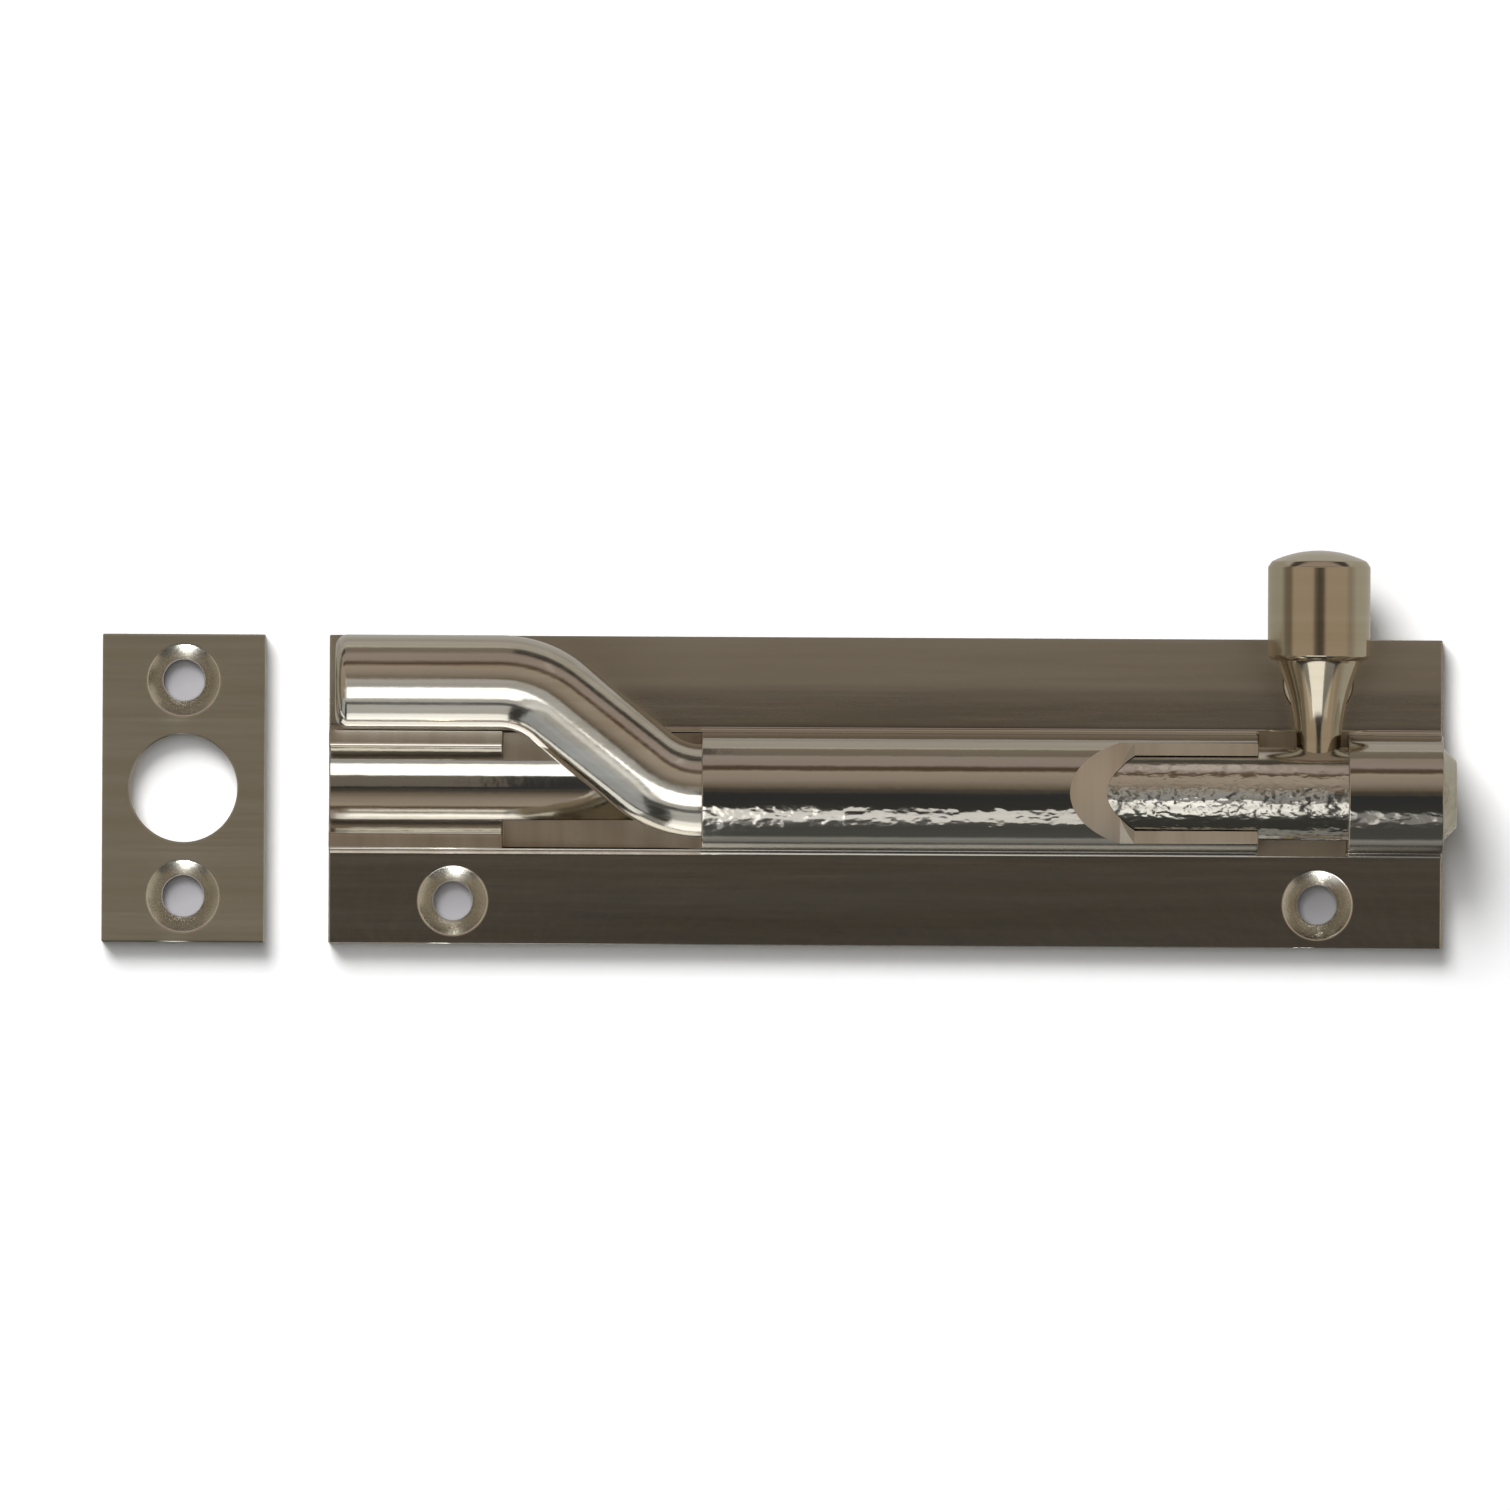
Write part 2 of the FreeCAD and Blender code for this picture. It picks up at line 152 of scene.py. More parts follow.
@dataclass(frozen=True)
class PlatedMetal:
    """Nickel plate over worked brass. Sizes are in millimetres.

    Nickel gives a warm grey mirror. The plate is thin and follows every line and lump of the brass
    below, so the way that the brass was worked sets the gloss.

    Attributes:
        name: What the finish is.
        tone: The colour of the clean plate.
        film: Its colour under the brown film of age.
        lay: The way that its fine lines run.
        roughness: Its middle roughness.
        roughness_spread: How far the lines change the roughness.
        line_spacing: From line to line.
        line_depth: How deep the lines are.
        wave_length: From wave to wave, of the waves that make a reflected edge wander.
        wave_depth: How high the waves are.
        lump_spacing: From lump to lump.
        lump_depth: How deep the hollows between the lumps are.
        lumps_round: The Y of the lumpy band's middle and its reach. None makes it lumpy all over.
        lumps_past: An axis, and the station on it that the lumps start at.
        gloss_across: What is added to the roughness at each Y.
    """

    name: str
    tone: str
    film: str
    lay: Lay
    roughness: float
    roughness_spread: float
    line_spacing: float
    line_depth: float
    wave_length: float
    wave_depth: float
    lump_spacing: float
    lump_depth: float
    lumps_round: Pair | None = None
    lumps_past: tuple[str, float] = ("Z", 0.0)
    gloss_across: tuple[Pair, ...] = ()

    def make(self) -> bpy.types.Material:
        """Build the node tree of the finish.

        Returns:
            The new material.
        """
        material = bpy.data.materials.new(self.name)
        material.use_nodes = True
        tree = material.node_tree
        tree.nodes.clear()
        place = add_node(tree, "ShaderNodeTexCoord").outputs["Object"]
        drawn = add_node(tree, "ShaderNodeMapping", {
            "Vector": place, "Scale": self.lay.value}).outputs["Vector"]
        # Lines that the die, the cutter or the wheel left: a fraction of a millimetre apart
        lines = add_node(tree, "ShaderNodeTexNoise", {
            "Vector": drawn, "Scale": 1 / (self.line_spacing * MM),
            "Detail": 4.0, "Roughness": 0.6}).outputs["Fac"]
        parts = add_node(tree, "ShaderNodeSeparateXYZ", {"Vector": place}).outputs
        surface = add_node(tree, "ShaderNodeBsdfPrincipled", {
            "Base Color": self.tint(tree, drawn), "Metallic": 1.0,
            "Roughness": self.dull(tree, lines, parts),
            "Normal": self.emboss(tree, place, lines, parts)})
        add_node(tree, "ShaderNodeOutputMaterial", {"Surface": surface.outputs["BSDF"]})
        return material

    def tint(self, tree: bpy.types.NodeTree, drawn: bpy.types.NodeSocket) -> bpy.types.NodeSocket:
        """Lay a thin brown film of age over the plate, in streaks a millimetre or two wide.

        Args:
            tree: The tree of the finish.
            drawn: The place, stretched along the lay.

        Returns:
            The colour.
        """
        clouds = add_node(tree, "ShaderNodeTexNoise", {
            "Vector": drawn, "Scale": 1 / (FILM_SPACING * MM), "Detail": 3.0, "Roughness": 0.55})
        cover = add_node(tree, "ShaderNodeMapRange", {
            "Value": clouds.outputs["Fac"], "From Min": 0.35, "From Max": 0.7})
        return add_node(tree, "ShaderNodeMix", {
            "Factor": cover.outputs["Result"], 6: to_linear(self.tone), 7: to_linear(self.film)},
            data_type="RGBA").outputs[2]

    def dull(
        self, tree: bpy.types.NodeTree, lines: bpy.types.NodeSocket, parts: bpy.types.NodeOutputs
    ) -> bpy.types.NodeSocket:
        """Make the plate duller between its lines, and where the wheel didn't reach.

        Args:
            tree: The tree of the finish.
            lines: The pattern of its lines.
            parts: The place as X, Y and Z.

        Returns:
            The roughness.
        """
        gloss = add_node(tree, "ShaderNodeMapRange", {
            "Value": lines, "From Min": 0.3, "From Max": 0.7,
            "To Min": self.roughness - self.roughness_spread,
            "To Max": self.roughness + self.roughness_spread}).outputs["Result"]
        if not self.gloss_across:
            return gloss
        start, end = self.gloss_across[0][0], self.gloss_across[-1][0]
        station = add_node(tree, "ShaderNodeMapRange", {
            "Value": parts["Y"], "From Min": start * MM, "From Max": end * MM})
        stops = [((y - start) / (end - start), (extra, extra, extra, 1.0))
                 for y, extra in self.gloss_across]
        added = add_node(tree, "ShaderNodeValToRGB", {"Fac": station.outputs["Result"]}, stops)
        return add_node(tree, "ShaderNodeMath", {
            0: gloss, 1: added.outputs["Color"]}, operation="ADD").outputs["Value"]

    def emboss(
        self, tree: bpy.types.NodeTree, place: bpy.types.NodeSocket, lines: bpy.types.NodeSocket,
        parts: bpy.types.NodeOutputs,
    ) -> bpy.types.NodeSocket:
        """Raise the lines, the slow waves and the lumps of the brass below the plate.

        Args:
            tree: The tree of the finish.
            place: The place on the piece.
            lines: The pattern of the lines.
            parts: The place as X, Y and Z.

        Returns:
            The normal.
        """
        waves = add_node(tree, "ShaderNodeTexNoise", {
            "Vector": place, "Scale": 1 / (self.wave_length * MM), "Detail": 2.0, "Roughness": 0.5})
        # The lumps that the polish left are a little longer than wide, and break a highlight up
        skin = add_node(tree, "ShaderNodeMapping", {"Vector": place, "Scale": (0.6, 1.0, 1.0)})
        lumps = add_node(tree, "ShaderNodeTexNoise", {
            "Vector": skin.outputs["Vector"], "Scale": 1 / (self.lump_spacing * MM), "Detail": 1.5,
            "Roughness": 0.5})
        hollows = add_node(tree, "ShaderNodeMapRange", {
            "Value": lumps.outputs["Fac"], "From Min": 0.3, "From Max": 0.7,
            "To Min": self.deepen(tree, parts), "To Max": 0.0}, interpolation_type="SMOOTHSTEP")
        scored = add_node(tree, "ShaderNodeMath", {
            0: lines, 1: self.line_depth, 2: hollows.outputs["Result"]}, operation="MULTIPLY_ADD")
        height = add_node(tree, "ShaderNodeMath", {
            0: waves.outputs["Fac"], 1: self.wave_depth, 2: scored.outputs["Value"]},
            operation="MULTIPLY_ADD")
        return add_node(tree, "ShaderNodeBump", {
            "Strength": 1.0, "Distance": MM, "Height": height.outputs["Value"]}).outputs["Normal"]

    def deepen(
        self, tree: bpy.types.NodeTree, parts: bpy.types.NodeOutputs
    ) -> float | bpy.types.NodeSocket:
        """Say how deep the hollows go: all over, or only in a band along the barrel.

        Args:
            tree: The tree of the finish.
            parts: The place as X, Y and Z.

        Returns:
            The depth, which is below zero.
        """
        if self.lumps_round is None:
            return -self.lump_depth
        middle, reach = self.lumps_round
        side, station = self.lumps_past
        away = add_node(tree, "ShaderNodeMath", {0: parts["Y"], 1: middle * MM}, operation="SUBTRACT")
        distance = add_node(tree, "ShaderNodeMath", {0: away.outputs["Value"]}, operation="ABSOLUTE")
        deepest = add_node(tree, "ShaderNodeMapRange", {
            "Value": parts[side], "From Min": (station - 0.5) * MM, "From Max": station * MM,
            "To Min": 0.0, "To Max": -self.lump_depth})
        return add_node(tree, "ShaderNodeMapRange", {
            "Value": distance.outputs["Value"], "From Min": 0.4 * reach * MM, "From Max": reach * MM,
            "To Min": deepest.outputs["Result"], "To Max": 0.0}).outputs["Result"]


# Extruded brass, drawn through a die and polished on a wheel, nickel plated: a near mirror with
# faint lines along its length. The wheel hardly reaches the strips beside the barrel and leaves the
# far one satin, and it leaves a lumpy band down the barrel's near side.
POLISHED_EXTRUSION = PlatedMetal(
    name="nickel_plated_polished_extrusion", tone="C7C4BC", film="BCB6AA", lay=Lay.ALONG_BARREL,
    roughness=0.09, roughness_spread=0.03, line_spacing=0.35, line_depth=0.0010,
    wave_length=1.6, wave_depth=0.012, lump_spacing=0.95, lump_depth=0.0380,
    lumps_round=(-2.3, 1.4), lumps_past=("Z", 8.0),
    gloss_across=((-13.85, 0.0), (-6.0, 0.07), (-5.7, 0.0), (-5.3, 0.18), (-4.8, 0.18), (-4.5, 0.0),
                  (-3.2, 0.0), (-2.8, 0.05), (-1.8, 0.05), (-1.4, 0.0), (5.7, 0.0),
                  (6.0, 0.16), (8.9, 0.20), (9.7, 0.31), (13.85, 0.33)))
# Milled brass, plated over the cutter's marks: an even satin that blurs what it reflects
MILLED_FACES = PlatedMetal(
    name="nickel_plated_milled_brass", tone="BFB7AA", film="B2A797", lay=Lay.ACROSS_BARREL,
    roughness=0.42, roughness_spread=0.05, line_spacing=0.30, line_depth=0.0016,
    wave_length=3.0, wave_depth=0.004, lump_spacing=0.8, lump_depth=0.0010)
# The ramp and the flats of the crown slot, dressed on a fine belt: paler, and dull all over
DRESSED_CROWN = PlatedMetal(
    name="nickel_plated_belt_dressed_brass", tone="E2DBD0", film="D5CCBE", lay=Lay.ACROSS_BARREL,
    roughness=0.55, roughness_spread=0.04, line_spacing=0.30, line_depth=0.0012,
    wave_length=3.0, wave_depth=0.004, lump_spacing=0.8, lump_depth=0.0008)
# Countersinks, cut with a sharp tool: bright rings that catch the light at one side
CUT_COUNTERSINK = PlatedMetal(
    name="nickel_plated_countersink", tone="F2F0E6", film="E4E1D4", lay=Lay.NONE,
    roughness=0.25, roughness_spread=0.04, line_spacing=0.25, line_depth=0.0012,
    wave_length=2.0, wave_depth=0.004, lump_spacing=0.8, lump_depth=0.0010)
# Drawn rod with a lumpy skin behind the barrel's middle: its highlights break up into sparkles
DRAWN_ROD = PlatedMetal(
    name="nickel_plated_drawn_rod", tone="D0CDC3", film="C1BBAE", lay=Lay.ALONG_BARREL,
    roughness=0.14, roughness_spread=0.05, line_spacing=0.30, line_depth=0.0020,
    wave_length=1.6, wave_depth=0.012, lump_spacing=0.75, lump_depth=0.0360,
    lumps_round=(-1.5, 4.5), lumps_past=("X", 10.0))
# Turned on a lathe and polished there: a mirror with faint rings round the knob's axis
TURNED_KNOB = PlatedMetal(
    name="nickel_plated_turned_brass", tone="CBC3B2", film="C2B8A3", lay=Lay.ROUND_KNOB,
    roughness=0.12, roughness_spread=0.03, line_spacing=0.30, line_depth=0.0008,
    wave_length=3.0, wave_depth=0.004, lump_spacing=0.9, lump_depth=0.0010)
# Flat brass strip, linished and plated: satin lines along the bolt's length
LINISHED_STRIP = PlatedMetal(
    name="nickel_plated_linished_strip", tone="CFCFC5", film="C2C0B2", lay=Lay.ALONG_BARREL,
    roughness=0.42, roughness_spread=0.06, line_spacing=0.35, line_depth=0.0016,
    wave_length=4.0, wave_depth=0.004, lump_spacing=0.9, lump_depth=0.0012)
# Hard drawn spring wire, bare and oiled: dark grey steel with a fine grain all over
SPRING_WIRE = PlatedMetal(
    name="oiled_spring_steel", tone="8C8C8E", film="6E6D6B", lay=Lay.NONE,
    roughness=0.32, roughness_spread=0.05, line_spacing=0.20, line_depth=0.0020,
    wave_length=1.5, wave_depth=0.003, lump_spacing=0.5, lump_depth=0.0015)


def work_on(piece: bpy.types.Object) -> None:
    """Leave edit mode and make one piece the only thing that the operators act on.

    Args:
        piece: The piece.
    """
    if bpy.context.object and bpy.context.object.mode != "OBJECT":
        bpy.ops.object.mode_set(mode="OBJECT")
    bpy.ops.object.select_all(action="DESELECT")
    piece.select_set(True)
    bpy.context.view_layer.objects.active = piece


def clear_bench() -> None:
    """Deselect everything, so that a new primitive is alone."""
    if bpy.context.object and bpy.context.object.mode != "OBJECT":
        bpy.ops.object.mode_set(mode="OBJECT")
    bpy.ops.object.select_all(action="DESELECT")


def take_new(name: str) -> bpy.types.Object:
    """Name the primitive that was just added, and put its place into its mesh.

    Args:
        name: The name of the object and of its mesh.

    Returns:
        The object, at the origin, unturned and unscaled.
    """
    piece = bpy.context.object
    piece.name = piece.data.name = name
    bpy.ops.object.transform_apply(location=True, rotation=True, scale=True)
    return piece


class Pen:
    """Draws an outline by hand: one vertex, extruded from corner to corner."""

    def __init__(self, name: str, start: Place) -> None:
        """Put the first vertex down.

        Args:
            name: The name of the object.
            start: The first corner, in millimetres.
        """
        clear_bench()
        bpy.ops.mesh.primitive_plane_add(size=MM, location=metres(*start))
        self.piece = take_new(name)
        bpy.ops.object.mode_set(mode="EDIT")
        bpy.ops.mesh.select_all(action="SELECT")
        bpy.ops.mesh.merge(type="CENTER")
        self.tip = Vector(start)

    def line_to(self, *corners: Place) -> "Pen":
        """Extrude the tip in straight runs.

        Args:
            *corners: The next corners, in millimetres.

        Returns:
            The pen itself.
        """
        for corner in corners:
            step = (Vector(corner) - self.tip) * MM
            bpy.ops.mesh.extrude_vertices_move(TRANSFORM_OT_translate={"value": step})
            self.tip = Vector(corner)
        return self

    def arc_to(self, corner: Place, centre: Place, axis: Place, steps: int) -> "Pen":
        """Spin the tip round a centre until it reaches a corner.

        Args:
            corner: Where the arc ends, in millimetres.
            centre: The arc's centre.
            axis: The axis that it turns about, counter-clockwise.
            steps: How many runs the arc has.

        Returns:
            The pen itself.
        """
        start, finish = self.tip - Vector(centre), Vector(corner) - Vector(centre)
        turn = math.atan2(start.cross(finish).dot(Vector(axis)), start.dot(finish))
        if math.isclose(abs(turn), math.pi, abs_tol=1e-4):
            turn = math.pi
        spin(steps, turn, metres(*centre), axis)
        self.tip = Vector(corner)
        return self

    def fill(self) -> bpy.types.Object:
        """Close the outline with a face, which stays selected.

        Returns:
            The object, in edit mode.
        """
        bpy.ops.mesh.select_all(action="SELECT")
        bpy.ops.mesh.remove_doubles(threshold=MERGE_DISTANCE)
        bpy.ops.mesh.edge_face_add()
        return self.piece

    def turn(self, centre: Place, axis: Place) -> bpy.types.Object:
        """Spin the outline once round, as on a lathe.

        Args:
            centre: A place on the axis.
            axis: The axis.

        Returns:
            The closed solid, in object mode.
        """
        bpy.ops.mesh.select_all(action="SELECT")
        spin(ROUND_STEPS, FULL_TURN, metres(*centre), axis)
        close_skin()
        return self.piece


def close_skin() -> None:
    """Merge doubles, turn the faces outwards, and go back to object mode."""
    bpy.ops.mesh.select_all(action="SELECT")
    bpy.ops.mesh.remove_doubles(threshold=MERGE_DISTANCE)
    bpy.ops.mesh.normals_make_consistent(inside=False)
    bpy.ops.object.mode_set(mode="OBJECT")


def spin(steps: int, angle: float, centre: Vector, axis: Place) -> None:
    """Spin what is selected, counter-clockwise about an axis.

    Args:
        steps: How many faces the turn has.
        angle: The turn, in radians.
        centre: A place on the axis, in metres.
        axis: The axis.
    """
    # The operator itself counts its angle clockwise
    bpy.ops.mesh.spin(steps=steps, angle=-angle, center=centre, axis=axis)


def extrude_face(step: Vector) -> None:
    """Extrude the selected face by a step in metres."""
    bpy.ops.mesh.extrude_region_move(TRANSFORM_OT_translate={"value": step})


def make_block(name: str, low: Place, high: Place) -> bpy.types.Object:
    """Add a box between two corners, as a tool that cuts.

    Args:
        name: The name of the object.
        low: The lowest corner, in millimetres.
        high: The highest corner.

    Returns:
        The box.
    """
    clear_bench()
    middle, size = (Vector(low) + Vector(high)) / 2, Vector(high) - Vector(low)
    bpy.ops.mesh.primitive_cube_add(size=1.0, location=middle * MM, scale=size * MM)
    return take_new(name)


def make_rod(name: str, radius: float, start: Place, end: Place) -> bpy.types.Object:
    """Add a round bar between two places, as a tool that cuts.

    Args:
        name: The name of the object.
        radius: Its radius, in millimetres.
        start: The centre of one end.
        end: The centre of the other.

    Returns:
        The bar.
    """
    clear_bench()
    run = Vector(end) - Vector(start)
    turn = run.to_track_quat("Z", "Y").to_euler()
    bpy.ops.mesh.primitive_cylinder_add(
        vertices=ROUND_STEPS, radius=radius * MM, depth=run.length * MM,
        location=(Vector(start) + Vector(end)) / 2 * MM, rotation=turn)
    return take_new(name)


def make_countersink(
    name: str, x: float, y: float, top: float, hole: float, sink: float
) -> bpy.types.Object:
    """Turn a countersink tool with its drill below, and set it over a place on a plate.

    Args:
        name: The name of the object.
        x: The hole's X, in millimetres.
        y: The hole's Y.
        top: The height of the plate's face.
        hole: The diameter of the hole.
        sink: The diameter of the countersink at the face.

    Returns:
        The tool.
    """
    # The sides of the countersink stand at 45 degrees, so it is as deep as it is wide on each side
    throat = top - (sink - hole) / 2
    pen = Pen(name, (x, y, -OVERRUN))
    pen.line_to((x + hole / 2, y, -OVERRUN), (x + hole / 2, y, throat),
                (x + sink / 2 + OVERRUN, y, top + OVERRUN), (x, y, top + OVERRUN))
    return pen.turn((x, y, 0.0), (0.0, 0.0, 1.0))


def cut_away(piece: bpy.types.Object, *tools: bpy.types.Object) -> None:
    """Cut tools out of a piece, one after the other, and put them away.

    Args:
        piece: What is cut.
        *tools: What cuts it.
    """
    for tool in tools:
        cut = piece.modifiers.new("cut", "BOOLEAN")
        cut.operation = "DIFFERENCE"
        cut.solver = "EXACT"
        cut.object = tool
        work_on(piece)
        bpy.ops.object.modifier_apply(modifier=cut.name)
        bpy.data.objects.remove(tool, do_unlink=True)


def paint_faces(
    piece: bpy.types.Object, number: int, wanted: Callable[[bpy.types.MeshPolygon], bool]
) -> None:
    """Give some faces of a piece another of its materials.

    Args:
        piece: The piece, in object mode.
        number: The material's number on the piece.
        wanted: Says which faces get it.
    """
    for face in piece.data.polygons:
        if wanted(face):
            face.material_index = number


def break_edges(
    piece: bpy.types.Object, width: float, spared: Callable[[Vector], bool] = lambda middle: False
) -> None:
    """Round the sharp edges a little, as tumbling and plating do.

    Args:
        piece: The piece, in object mode.
        width: The width of the rounding, in millimetres.
        spared: Says by an edge's middle, in millimetres, whether it stays as it is.
    """
    work_on(piece)
    bpy.ops.object.mode_set(mode="EDIT")
    bpy.ops.mesh.select_mode(type="EDGE")
    bpy.ops.mesh.select_all(action="DESELECT")
    bpy.ops.mesh.edges_select_sharp(sharpness=SMOOTH_ANGLE)
    bpy.ops.object.mode_set(mode="OBJECT")
    corners = piece.data.vertices
    weights = piece.data.attributes.new("bevel_weight_edge", "FLOAT", "EDGE")
    for edge, weight in zip(piece.data.edges, weights.data, strict=True):
        start, end = (corners[number].co for number in edge.vertices)
        weight.value = float(edge.select and not spared((start + end) / 2 / MM))
    bpy.ops.object.mode_set(mode="EDIT")
    bpy.ops.mesh.select_mode(type="VERT")
    bpy.ops.object.mode_set(mode="OBJECT")
    bevel = piece.modifiers.new("broken_edges", "BEVEL")
    bevel.width = width * MM
    bevel.segments = EDGE_STEPS
    bevel.limit_method = "WEIGHT"
    bevel.use_clamp_overlap = False
    bevel.miter_outer = "MITER_ARC"
    bpy.ops.object.modifier_apply(modifier=bevel.name)


def settle(
    piece: bpy.types.Object, body: str, node: str, flat: Sequence[int] = ()
) -> None:
    """Smooth a finished piece and put it in the place of its CAD node.

    Args:
        piece: The piece, in object mode.
        body: The CAD body that it rides on.
        node: The CAD node that it stands for.
        flat: The numbers of the materials whose faces stay flat.
    """
    work_on(piece)
    bpy.ops.object.shade_smooth_by_angle(angle=SMOOTH_ANGLE)
    for face in piece.data.polygons:
        if face.material_index in flat:
            face.use_smooth = False
    level = piece.modifiers.new("flat_faces_stay_flat", "WEIGHTED_NORMAL")
    level.keep_sharp = True
    bpy.ops.object.modifier_apply(modifier=level.name)
    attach(piece, body)
    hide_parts(node)
    log.info("%s: %d faces on %s", piece.name, len(piece.data.polygons), body)


@dataclass
class BarrelPlate:
    """Base plate and barrel, milled from one length of extrusion.

    Stations run along X from the plate's middle. Angles are in degrees.

    Attributes:
        length: The length of the plate.
        width: Its width.
        thickness: Its thickness.
        axis_height: From the door to the axis of the barrel.
        barrel_radius: The radius of the barrel.
        bore_radius: The radius of its bore, and of the channel before it.
        foot_width: The width of the foot that the barrel stands on.
        foot_height: Its height above the plate.
        foot_rounding: The radius of its edges.
        foot_turn: How far round the edges go.
        rim_rounding: How wide the eased rims of the channel are.
        barrel_front: The station of the barrel's front.
        pocket_front: The station of the front of the pocket under the crank.
        shelf_depth: From the axis down to the shelf beside the channel.
        pocket_depth: From the axis down to the pocket's floor.
        channel_drop: From the axis down to the channel's centre.
        ramp_start: The station at which the ramp leaves the crown.
        ramp_end: The station of its low end.
        ramp_level: From the axis up to its low end.
        ramp_rounding: Its radius across the barrel.
        ramp_swing: How far its cutter swings.
        slot_start: The station at which the floor of the crown slot starts.
        slot_slope: How steep the slot's front end is.
        slot_level: From the axis up to the slot's floor.
        notch_front: The station of the front of the knob's notch.
        notch_rear: The station of its rear.
        notch_depth: From the axis down to its floor.
        screw_spacing: From screw to screw, along and across the plate.
        screw_hole: The diameter of a screw hole.
        screw_sink: The diameter of its countersink.
        edge_width: How wide a broken edge is.
    """

    length: float = 100.0
    width: float = 27.7
    thickness: float = 2.6
    axis_height: float = 7.5
    barrel_radius: float = 5.25
    bore_radius: float = 4.28
    foot_width: float = 11.5
    foot_height: float = 0.5
    foot_rounding: float = 0.75
    foot_turn: float = 33.0
    rim_rounding: float = 0.42
    barrel_front: float = -16.5
    pocket_front: float = -34.4
    shelf_depth: float = 2.6
    pocket_depth: float = 4.3
    channel_drop: float = 0.91
    ramp_start: float = 16.5
    ramp_end: float = 21.0
    ramp_level: float = 3.94
    ramp_rounding: float = 10.0
    ramp_swing: float = 90.0
    slot_start: float = 22.3
    slot_slope: float = 37.0
    slot_level: float = 2.68
    notch_front: float = 33.4
    notch_rear: float = 41.5
    notch_depth: float = 4.45
    screw_spacing: Pair = (77.7, 20.0)
    screw_hole: float = 3.5
    screw_sink: float = 6.2
    edge_width: float = 0.13

    def build(self) -> bpy.types.Object:
        """Draw the section, extrude it and mill it.

        Returns:
            The finished piece.
        """
        piece = self.extrude_section()
        self.mill_barrel(piece)
        self.drill_screw_holes(piece)
        self.dress(piece)
        return piece

    def extrude_section(self) -> bpy.types.Object:
        """Draw the extrusion's section and run it along the barrel.

        Returns:
            The blank, with its bore.
        """
        left, half = -self.length / 2, self.width / 2
        foot, foot_top = self.foot_width / 2, self.thickness + self.foot_height
        turn = math.radians(self.foot_turn)
        edge, level = foot - self.foot_rounding * math.sin(turn), foot_top - self.foot_rounding
        drop = self.foot_rounding * (1 - math.cos(turn))
        radius, axis = self.barrel_radius, self.axis_height
        pen = Pen(BARREL, (left, -half, 0.0))
        pen.line_to((left, half, 0.0), (left, half, self.thickness), (left, foot, self.thickness),
                    (left, foot, foot_top - drop))
        pen.arc_to((left, edge, foot_top), (left, edge, level), (1.0, 0.0, 0.0), ARC_STEPS)
        pen.line_to((left, radius, foot_top), (left, radius, axis))
        pen.arc_to((left, -radius, axis), (left, 0.0, axis), (1.0, 0.0, 0.0), ROUND_STEPS)
        pen.line_to((left, -radius, foot_top), (left, -edge, foot_top))
        pen.arc_to((left, -foot, foot_top - drop), (left, -edge, level), (1.0, 0.0, 0.0), ARC_STEPS)
        pen.line_to((left, -foot, self.thickness), (left, -half, self.thickness),
                    (left, -half, 0.0))
        piece = pen.fill()
        extrude_face(metres(self.length, 0.0, 0.0))
        # The cut across keeps the foot's edges before the barrel apart from those beside it
        bpy.ops.mesh.select_all(action="SELECT")
        bpy.ops.mesh.bisect(plane_co=metres(self.barrel_front - 0.1, 0.0, 0.0),
                            plane_no=(1.0, 0.0, 0.0))
        close_skin()
        cut_away(piece, make_rod("bore_drill", self.bore_radius, (left - OVERRUN, 0.0, axis),
                                 (-left + OVERRUN, 0.0, axis)))
        return piece

    def mill_barrel(self, piece: bpy.types.Object) -> None:
        """Mill the pocket, the shelf, the channel, the knob notch, the crown slot and its ramp.

        Args:
            piece: The blank.
        """
        axis, reach = self.axis_height, self.width / 2 + OVERRUN
        above = axis + self.barrel_radius + OVERRUN
        left = -self.length / 2 - OVERRUN
        channel = axis - self.channel_drop
        cut_away(
            piece,
            make_block("pocket_cutter", (self.pocket_front, -reach, axis - self.pocket_depth),
                       (self.barrel_front, reach, above)),
            make_block("shelf_cutter", (left, -reach, axis - self.shelf_depth),
                       (self.pocket_front, reach, above)),
            make_rod("channel_cutter", self.bore_radius, (left, 0.0, channel),
                     (self.barrel_front, 0.0, channel)),
            make_block("notch_cutter", (self.notch_front, -reach, axis - self.notch_depth),
                       (self.notch_rear, reach, above)),
            self.make_slot_cutter(reach, above),
            self.make_ramp_cutter())
        self.ease_rims(piece)

    def ease_rims(self, piece: bpy.types.Object) -> None:
        """Round the two rims where the channel meets the shelf, as a file does.

        Args:
            piece: The milled piece.
        """
        level = self.axis_height - self.shelf_depth
        rim = math.sqrt(self.bore_radius ** 2 - (self.shelf_depth - self.channel_drop) ** 2)
        corners = piece.data.vertices
        work_on(piece)
        bpy.ops.object.mode_set(mode="EDIT")
        bpy.ops.mesh.select_all(action="DESELECT")
        bpy.ops.object.mode_set(mode="OBJECT")
        for edge in piece.data.edges:
            ends = [corners[number].co / MM for number in edge.vertices]
            edge.select = all(abs(end.z - level) < NEAR and abs(abs(end.y) - rim) < NEAR
                              and end.x < self.pocket_front + NEAR for end in ends)
        bpy.ops.object.mode_set(mode="EDIT")
        bpy.ops.mesh.bevel(offset=self.rim_rounding * MM, segments=EDGE_STEPS, affect="EDGES")
        bpy.ops.object.mode_set(mode="OBJECT")

